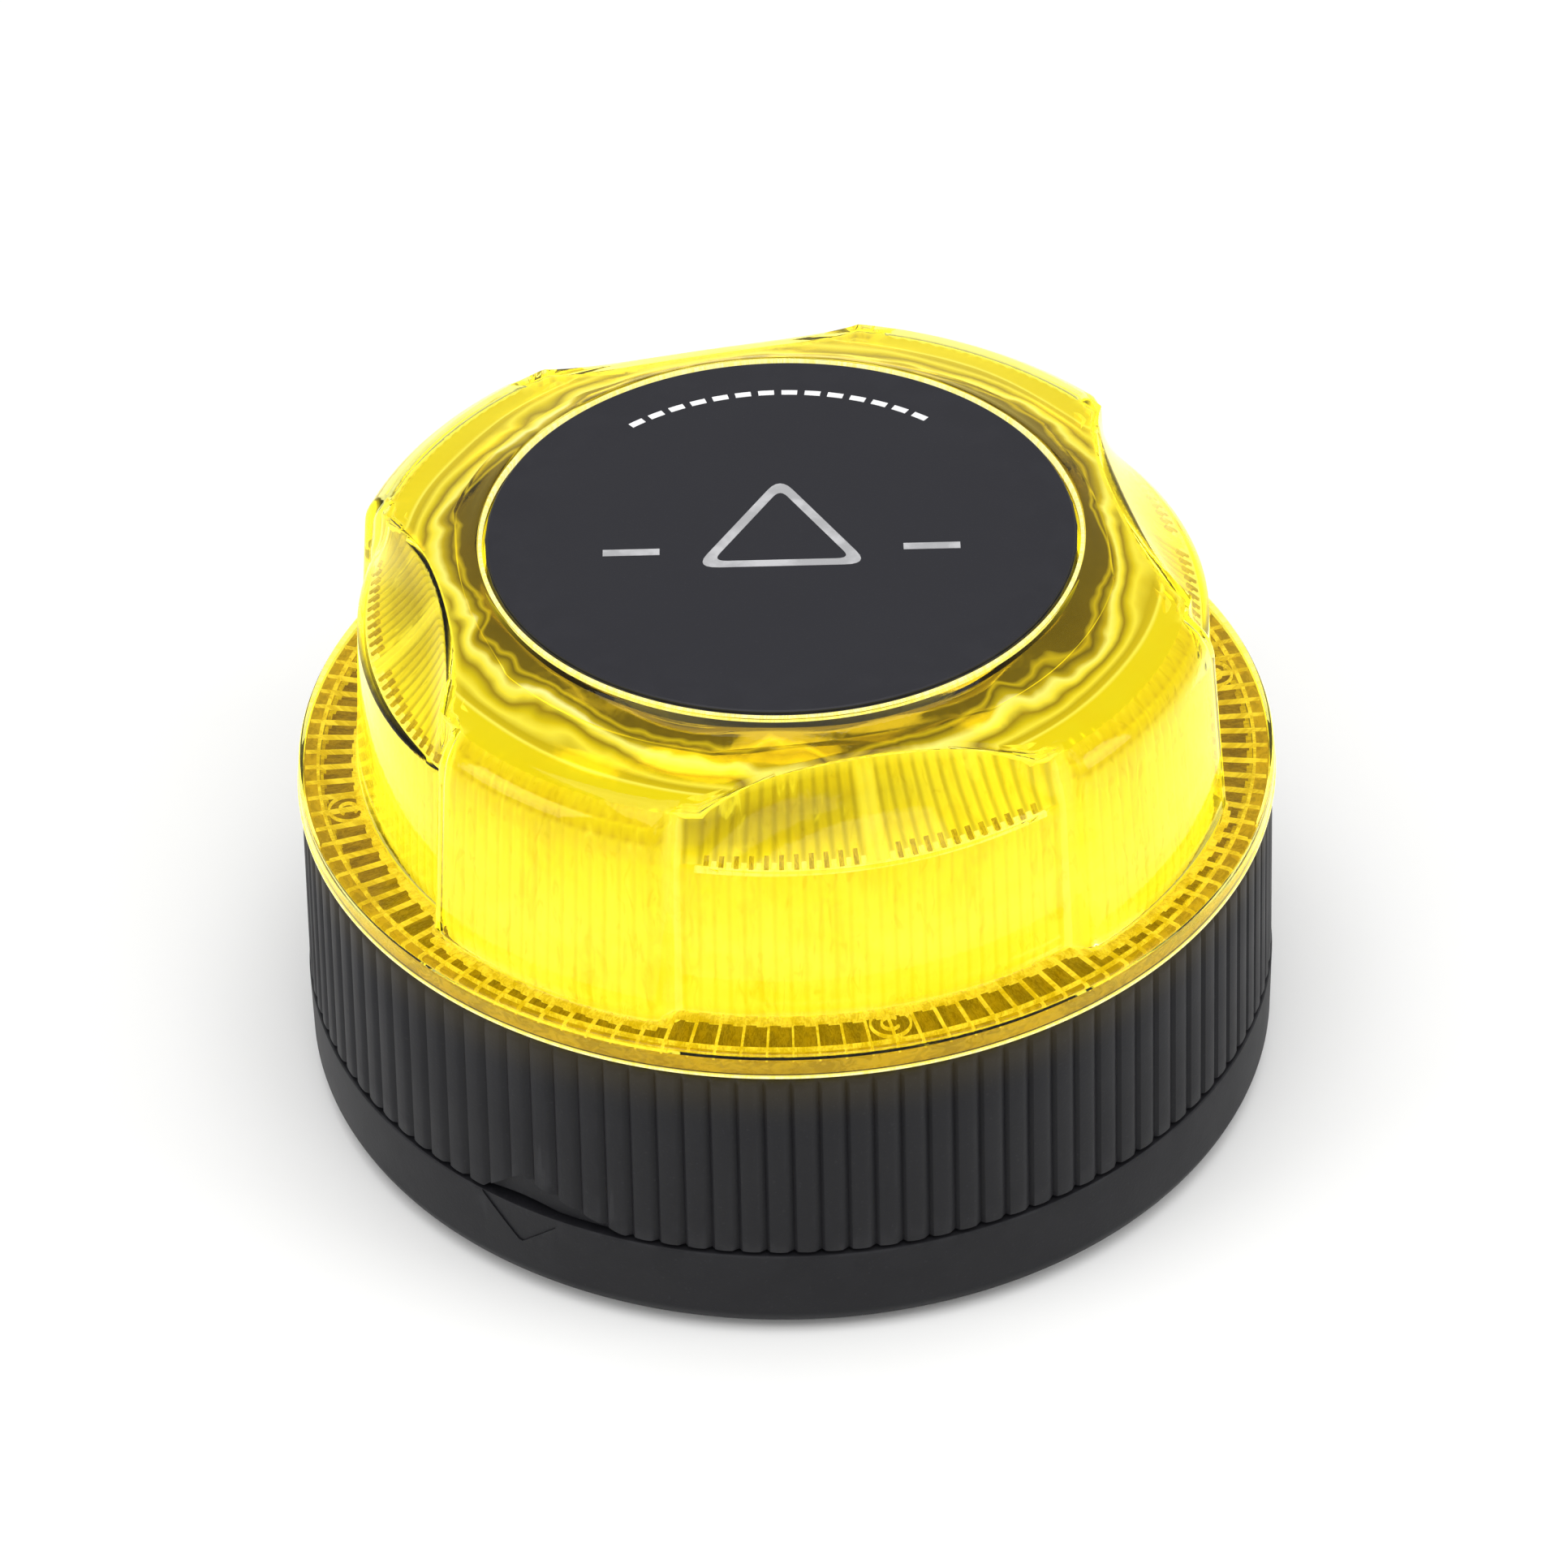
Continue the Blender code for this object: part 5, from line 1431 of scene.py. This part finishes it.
@dataclass
class Button:
    """The press button's face: a satin film with a plain grey road-hazard triangle and a thin arc."""

    radius: float
    base: float
    top: float
    ink: float = 0.02

    def build(self) -> None:
        """Build and dress the film and its print."""
        outline = [(0.0, self.top), (self.radius - 0.14, self.top), (self.radius, self.top - 0.10),
                   (self.radius, self.base), (0.0, self.base)]
        inner = [(r, self.top) for r in (self.radius * 0.33, self.radius * 0.66)]
        outline = [outline[0], *inner, *outline[1:]]
        film = Piece.turned("face_film_skin", outline, 256)
        film.finish(FILM, Body.BUTTON, "satin_black", ("face_film",))
        mark = [*self.triangle(), *self.stripe(-17.0, -11.6), *self.stripe(11.6, 17.0)]
        Piece.bars("hazard_print", mark).finish(INK, Body.BUTTON, "satin_black")
        Piece.bars("arc_print", self.arc(22.9, 0.38, 40.0)).finish(INK_PALE, Body.BUTTON, "satin_black")

    def corners(self, size: float, fillet: float) -> list[tuple[float, float]]:
        """A rounded triangle's outline.

        Args:
            size: The distance from its middle to a corner.
            fillet: How round the corners are.

        Returns:
            Its (x, y) points.
        """
        angles = [math.radians(a) for a in (0, 120, 240)]
        tips = [Vector((size * math.sin(a), size * math.cos(a))) for a in angles]
        points = []
        for k, tip in enumerate(tips):
            before, after = tips[k - 1], tips[(k + 1) % 3]
            start = tip + (before - tip).normalized() * fillet
            end = tip + (after - tip).normalized() * fillet
            for t in np.linspace(0.0, 1.0, 7):
                point = start * (1 - t) ** 2 + tip * (2 * t * (1 - t)) + end * t * t
                points.append((point.x, point.y - 1.0))
        return points

    def triangle(self) -> list[list[list[tuple[float, float, float]]]]:
        """The triangle's outline as one bar that meets itself."""
        outer, inner = self.corners(9.6, 2.4), self.corners(7.6, 1.4)
        ring = []
        for (x, y), (u, v) in zip([*outer, outer[0]], [*inner, inner[0]]):
            ring.append([(x, y, self.top), (u, v, self.top), (u, v, self.top + self.ink),
                         (x, y, self.top + self.ink)])
        return [ring]

    def stripe(self, left: float, right: float) -> list[list[list[tuple[float, float, float]]]]:
        """A short level stripe beside the triangle, as one bar.

        Args:
            left: The x it starts at.
            right: The x it ends at.

        Returns:
            A list that holds the one bar.
        """
        low, high = self.top, self.top + self.ink
        return [[[(x, -3.6, low), (x, -2.6, low), (x, -2.6, high), (x, -3.6, high)]
                 for x in (left, right)]]

    def arc(self, radius: float, half: float,
            reach: float) -> list[list[list[tuple[float, float, float]]]]:
        """A dashed arc at the back of the face.

        Args:
            radius: Its radius.
            half: Half its width.
            reach: Half its angle.

        Returns:
            One bar for each dash.
        """
        low, high = self.top, self.top + self.ink
        dashes, pitch = [], 2.0 * reach / 14
        for k in range(14):
            start = 180.0 - reach + pitch * k
            dash = []
            for b in np.linspace(start + 0.16 * pitch, start + 0.84 * pitch, 5):
                inner, outer = around(b, radius - half), around(b, radius + half)
                dash.append([(*inner, low), (*outer, low), (*outer, high), (*inner, high)])
            dashes.append(dash)
        return dashes


# Housing and cover --------------------------------------------------------------------------------


@dataclass
class Housing:
    """The ribbed housing with its smooth twist mark."""

    foot: float
    rim: float
    foot_radius: float = 48.3
    head: float = 31.2
    head_radius: float = 47.7
    ribs: int = 116
    samples: int = 8
    groove: float = 0.48
    groove_start: float = 0.72
    bore: float = 44.8
    deck: tuple[float, float, float] = (16.0, 26.0, 28.0)
    mark: tuple[float, float, float] = (-38.5, -33.0, -19.3)
    mark_height: float = 13.95
    mark_floor: float = 47.45

    def rib_depth(self, bearings: np.ndarray) -> np.ndarray:
        """How far under the crests the ribbed wall lies at each bearing."""
        part = (bearings * self.ribs / 360.0) % 1.0
        land = 0.10 * ((part / self.groove_start) * 2.0 - 1.0) ** 2
        across = np.clip((part - self.groove_start) / (1.0 - self.groove_start), 0.0, 1.0)
        groove = 0.10 + (self.groove - 0.10) * np.sin(math.pi * across) ** 0.7
        return np.where(part < self.groove_start, land, groove)

    def build(self) -> None:
        """Build and dress the housing."""
        columns = self.ribs * self.samples
        bearings = np.array(ring_points(columns))
        depth = self.rib_depth(bearings)
        taper = (self.foot_radius - self.head_radius) / (self.head - self.foot)
        rows = [(self.foot, 0.25, 1.0), (self.foot + 0.12, 0.06, 1.0), (self.foot + 0.3, 0.0, 1.0)]
        rows += [(z, 0.0, 1.0) for z in np.linspace(self.foot + 2.5, self.head - 1.6, 6)]
        rows += [(self.head - 0.9, 0.0, 1.0), (self.head - 0.55, 0.04, 0.95), (self.head - 0.3, 0.16, 0.7),
                 (self.head - 0.1, 0.40, 0.3), (self.head, 0.62, 0.0)]
        radius = [self.foot_radius - taper * (z - self.foot) - drop - depth * keep
                  for z, drop, keep in rows]
        height = [np.full(columns, z) for z, _, _ in rows]
        opening, deck_low, deck_high = self.deck
        inside = [(46.9, self.head), (46.8, self.rim), (46.6, self.rim), (46.5, 30.6), (self.bore, 30.6),
                  (self.bore, deck_high), (opening, deck_high), (opening, deck_low), (self.bore, deck_low),
                  (self.bore, self.foot)]
        radius += [np.full(columns, r) for r, _ in inside]
        height += [np.full(columns, z) for _, z in inside]
        radius, height = np.vstack(radius), np.vstack(height)
        housing = Piece.grid("housing_skin", radius, height, bearings, close_rows=True)
        housing.cut(self.mark_tool(), self.gap_tool())
        housing.finish(SHELL, Body.HOUSING, "black_shell", ("housing",), smooth=32.0)

    def mark_tool(self) -> Piece:
        """The three-cornered cutter that leaves the smooth mark."""
        left, peak, right = self.mark
        bar = []
        for b in [*np.linspace(left, peak, 9), *np.linspace(peak, right, 21)[1:]]:
            top = float(np.interp(b, self.mark, (self.foot, self.mark_height, self.foot)))
            bar.append([(*around(b, self.mark_floor), self.foot - 0.5), (*around(b, 50.0), self.foot - 0.5),
                        (*around(b, 50.0), top), (*around(b, self.mark_floor), top)])
        return Piece.bars("mark_tool", [bar])

    def gap_tool(self) -> Piece:
        """The cutter that widens the parting gap under the mark."""
        start, end = self.mark[0] + 0.3, self.mark[0] + 10.0
        bar = []
        for t in np.linspace(0.0, 1.0, 17):
            b, top = start + (end - start) * t, self.foot + 0.02 + 0.5 * math.sin(math.pi * t)
            bar.append([(*around(b, 46.2), self.foot - 0.3), (*around(b, 50.0), self.foot - 0.3),
                        (*around(b, 50.0), top), (*around(b, 46.2), top)])
        return Piece.bars("gap_tool", [bar])


@dataclass
class Cover:
    """The twist-off cover, its faint mark, lugs and the grip pad under it."""

    top: float
    radius: float
    neck_top: float
    pad_radius: float
    neck: tuple[float, float] = (41.0, 43.0)
    groove: tuple[float, float, float] = (42.2, 10.5, 12.9)
    floor: tuple[float, float] = (1.6, 3.4)
    skirt: float = 46.0
    recess: float = 38.5
    proud: float = 0.8
    mark: tuple[float, float, float] = (-38.6, -33.2, -28.4)
    mark_low: float = 5.4
    lugs: int = 4
    lug_bearing: float = 40.0
    lug_half: float = 8.0
    lug_base: float = 18.5
    lug_height: float = 2.2
    lug_rise: float = 0.1
    lug_radius: float = 44.3

    def build(self) -> None:
        """Build and dress the cover, its lugs and its pad."""
        floor_low, floor_high = self.floor
        inner, outer = self.neck
        seat, seat_low, seat_high = self.groove
        shell = rounded([
            (outer, floor_high), (self.skirt, floor_high), (self.skirt, self.top), (self.radius, self.top),
            (self.radius, 2.3), (self.radius - 0.45, 1.25), (self.radius - 1.5, self.proud),
            (self.recess, self.proud), (self.recess, floor_low), (self.recess - 6.0, floor_low)], 0.35, 3)
        neck = rounded([(inner, floor_high), (inner, self.neck_top), (outer, self.neck_top),
                        (outer, seat_high), (seat, seat_high), (seat, seat_low), (outer, seat_low),
                        (outer, floor_high + 0.4)], 0.15, 2)
        outline = [(0.0, floor_high), *neck, *shell, (0.0, floor_low)]
        cover = Piece.turned("cover_shell", outline, 256)
        cover.cut(self.mark_tool())
        cover.finish(COVER, Body.COVER, "black_shell", ("bottom_cover",), smooth=32.0)
        bars = [self.lug(middle) for middle in ring_points(self.lugs, self.lug_bearing)]
        Piece.bars("cover_lugs", bars).finish(COVER, Body.COVER, "black_shell")
        self.pad()

    def mark_tool(self) -> Piece:
        """The cutter of the faint point-down mark under the parting line."""
        bar = []
        for b in np.linspace(self.mark[0], self.mark[2], 21):
            low = float(np.interp(b, self.mark, (self.top, self.mark_low, self.top - 1.0)))
            bar.append([(*around(b, self.radius - 0.14), low), (*around(b, 50.0), low),
                        (*around(b, 50.0), self.top + 0.5),
                        (*around(b, self.radius - 0.14), self.top + 0.5)])
        return Piece.bars("cover_mark_tool", [bar])

    def lug(self, middle: float) -> list[list[tuple[float, float, float]]]:
        """One lug of the twist lock.

        Args:
            middle: Its bearing.

        Returns:
            Its cross-sections.
        """
        sections = []
        for b in np.linspace(middle - self.lug_half, middle + self.lug_half, 9):
            low = self.lug_base + self.lug_rise * (b - middle)
            near, far = around(b, self.neck[1] - 0.5), around(b, self.lug_radius)
            sections.append([(*near, low), (*far, low + 0.15), (*far, low + self.lug_height - 0.15),
                             (*near, low + self.lug_height)])
        return sections

    def pad(self) -> None:
        """The rubber pad with raised grip rings."""
        rings, pitch, valley = [], 3.0, 0.3
        radius = 3.0
        while radius + pitch < self.pad_radius - 2.0:
            rings += [(radius, 0.0), (radius + 0.3, valley), (radius + 0.9, valley), (radius + 1.2, 0.0)]
            radius += pitch
        top = self.floor[0] - 0.3
        outline = [(0.0, 0.0), *rings, (self.pad_radius - 0.3, 0.0), (self.pad_radius, 0.3),
                   (self.pad_radius, top), (0.0, top)]
        Piece.turned("grip_pad", outline, 160).finish(RUBBER, Body.COVER, "black_rubber", ("foot_pad",))


# Inside -------------------------------------------------------------------------------------------


@dataclass
class Works:
    """What is inside: the return spring, and better finishes on the CAD pieces that stay."""

    looks: dict[str, Finish] = field(default_factory=lambda: {
        "button_cap": CAP, "battery_holder": COVER, "lens_gasket": SILICONE, "button_seal": SILICONE,
        "cover_seal": RUBBER, "reflector": MIRROR, "main_board": SolderMask("board_green"),
        "led_board": SolderMask("board_green"), "switch_board": SolderMask("board_green"),
        "modem_can": NICKEL, "sim_chip": CHIP, "controller_chip": CHIP, "switch_body": CHIP,
        "switch_plunger": WHITE, "position_antenna": CERAMIC, "keeper_plate": STEEL,
        "lead_positive": WIRE_RED, "lead_negative": WIRE_BLACK, "switch_lead": WIRE_BLACK,
    })
    families: dict[str, Finish] = field(default_factory=lambda: {
        "lamp_": LampFace("lamp_face"), "board_screw_": STEEL, "lens_screw_": STEEL, "board_spacer_": BRASS,
        "cell_": CellWrap("cell_wrap"), "coil_contact_": NICKEL, "stud_contact_": NICKEL, "magnet_": NICKEL,
    })

    def build(self) -> None:
        """Build the spring and dress the CAD pieces."""
        self.spring()
        for name, node in sorted(frame["nodes"].items()):
            if node.hide_render:
                continue
            look = self.looks.get(name) or next(
                finish for start, finish in self.families.items() if name.startswith(start))
            for slot in node.material_slots:
                slot.material = look.build()
            LOG.info("%s: finished in %s", name, look.name)

    def spring(self) -> None:
        """The return spring, with closed ends."""
        low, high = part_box("button_spring")
        radius, wire, turns, sides = (high.x - low.x) / 2 / MM - 0.35, 0.35, 6.0, 10
        foot, head = low.z / MM + wire, high.z / MM - wire
        rings = []
        for share in np.linspace(0.0, 1.0, int(turns * 28) + 1):
            climb = np.interp(share, (0.0, 0.14, 0.86, 1.0), (0.0, 0.06, 0.94, 1.0))
            angle = math.tau * turns * share
            out = Vector((math.cos(angle), math.sin(angle), 0.0))
            centre = out * radius + Vector((0.0, 0.0, foot + (head - foot) * float(climb)))
            rings.append([tuple(centre + wire * (out * math.cos(a) + Vector((0, 0, math.sin(a)))))
                          for a in np.linspace(0.0, math.tau, sides, endpoint=False)])
        spring = Piece.bars("return_spring", [rings])
        spring.finish(STEEL, Body.HOUSING, "steel", ("button_spring",))
        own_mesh(spring.obj)


# Studio -------------------------------------------------------------------------------------------


@dataclass(frozen=True)
class PaleFloor(Finish):
    """A plain pale floor with the faintest mottling."""

    def dress(self, graph: Graph, shader: bpy.types.Node) -> None:
        """See Finish.dress: nearly one tone."""
        mottle = graph.noise(graph.place(), 9.0, 2.0)
        graph.plug(shader.inputs["Base Color"], graph.mix(mottle, (0.90, 0.90, 0.90), (0.93, 0.93, 0.92)))
        graph.plug(shader.inputs["Roughness"], graph.span(mottle, 0.3, 0.7, (0.75, 0.85)))


@dataclass
class Studio:
    """The floor, the soft lights and the camera."""

    target: tuple[float, float, float] = (-0.29, 0.0, 28.35)
    distance: float = 578.9
    elevation: float = 38.62
    roll: float = -1.35
    focal: float = 134.6
    sensor: float = 36.0
    world_light: float = 0.50
    floor_half: float = 3000.0
    floor_gap: float = 0.1

    def build(self) -> None:
        """Set up everything that isn't the flare."""
        self.camera()
        self.floor()
        self.light("overhead_box", (0.0, -150.0, 900.0), 900.0, 5.6)
        self.light("left_box", (-850.0, -350.0, 420.0), 520.0, 2.8)
        self.light("right_box", (850.0, -250.0, 420.0), 520.0, 2.8)
        self.light("front_box", (100.0, -1000.0, 700.0), 500.0, 1.2)
        world = bpy.data.worlds.new("studio_air")
        world.use_nodes = True
        background = world.node_tree.nodes["Background"]
        background.inputs["Color"].default_value = (1.0, 1.0, 1.0, 1.0)
        background.inputs["Strength"].default_value = self.world_light
        bpy.context.scene.world = world
        bpy.context.scene.view_settings.view_transform = "Standard"

    def camera(self) -> None:
        """The camera, a little rolled, looking down at the flare."""
        data = bpy.data.cameras.new("camera")
        data.lens, data.sensor_width = self.focal, self.sensor
        data.clip_start, data.clip_end = 0.01, 20.0
        camera = bpy.data.objects.new("camera", data)
        tilt, roll = math.radians(self.elevation), math.radians(self.roll)
        back = Vector((0.0, -math.cos(tilt), math.sin(tilt)))
        right, up = Vector((1.0, 0.0, 0.0)), Vector((0.0, math.sin(tilt), math.cos(tilt)))
        across = right * math.cos(roll) + up * math.sin(roll)
        rise = up * math.cos(roll) - right * math.sin(roll)
        turn = Matrix((across, rise, back)).transposed().to_4x4()
        turn.translation = (Vector(self.target) + back * self.distance) * MM
        camera.matrix_world = turn
        bpy.context.scene.collection.objects.link(camera)
        bpy.context.scene.camera = camera

    def floor(self) -> None:
        """A wide floor just under the flare."""
        mesh = bpy.data.meshes.new("floor")
        half = self.floor_half * MM
        corners = [(-half, -half, 0.0), (half, -half, 0.0), (half, half, 0.0), (-half, half, 0.0)]
        mesh.from_pydata(corners, [], [(0, 1, 2, 3)])
        mesh.materials.append(PaleFloor("floor_pale").build())
        floor = bpy.data.objects.new("floor", mesh)
        floor.location.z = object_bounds()[0].z - self.floor_gap * MM
        bpy.context.scene.collection.objects.link(floor)
        floor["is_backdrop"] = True

    def light(self, name: str, place: tuple[float, float, float], size: float, power: float) -> None:
        """One soft box aimed at the flare.

        Args:
            name: The light's name.
            place: Where it stands, in millimetres.
            size: Its side, in millimetres.
            power: Its power in watts.
        """
        data = bpy.data.lights.new(name, "AREA")
        data.shape, data.size, data.energy = "SQUARE", size * MM, power
        lamp = bpy.data.objects.new(name, data)
        lamp.location = Vector(place) * MM
        lamp.rotation_euler = (-lamp.location).to_track_quat("-Z", "Y").to_euler()
        bpy.context.scene.collection.objects.link(lamp)


def main() -> None:
    """Build the flare's looks in order."""
    logging.basicConfig(level=logging.INFO, format="%(name)s: %(message)s")
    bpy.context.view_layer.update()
    _, lens_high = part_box("lens")
    film_low, film_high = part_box("face_film")
    house_low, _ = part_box("housing")
    _, cover_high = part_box("bottom_cover")
    pad_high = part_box("foot_pad")[1]
    skirt_top = house_low.z / MM - SEAM_GAP
    Studio().build()
    Lens(base=LENS_BASE, radius=lens_high.x / MM).build()
    Button(radius=film_high.x / MM, base=film_low.z / MM, top=film_high.z / MM).build()
    Housing(foot=house_low.z / MM, rim=HOUSING_RIM).build()
    Cover(top=skirt_top, radius=cover_high.x / MM, neck_top=cover_high.z / MM,
          pad_radius=pad_high.x / MM).build()
    Works().build()
    LOG.info("%d new pieces", len(Piece.made))


if __name__ == "__main__":
    main()
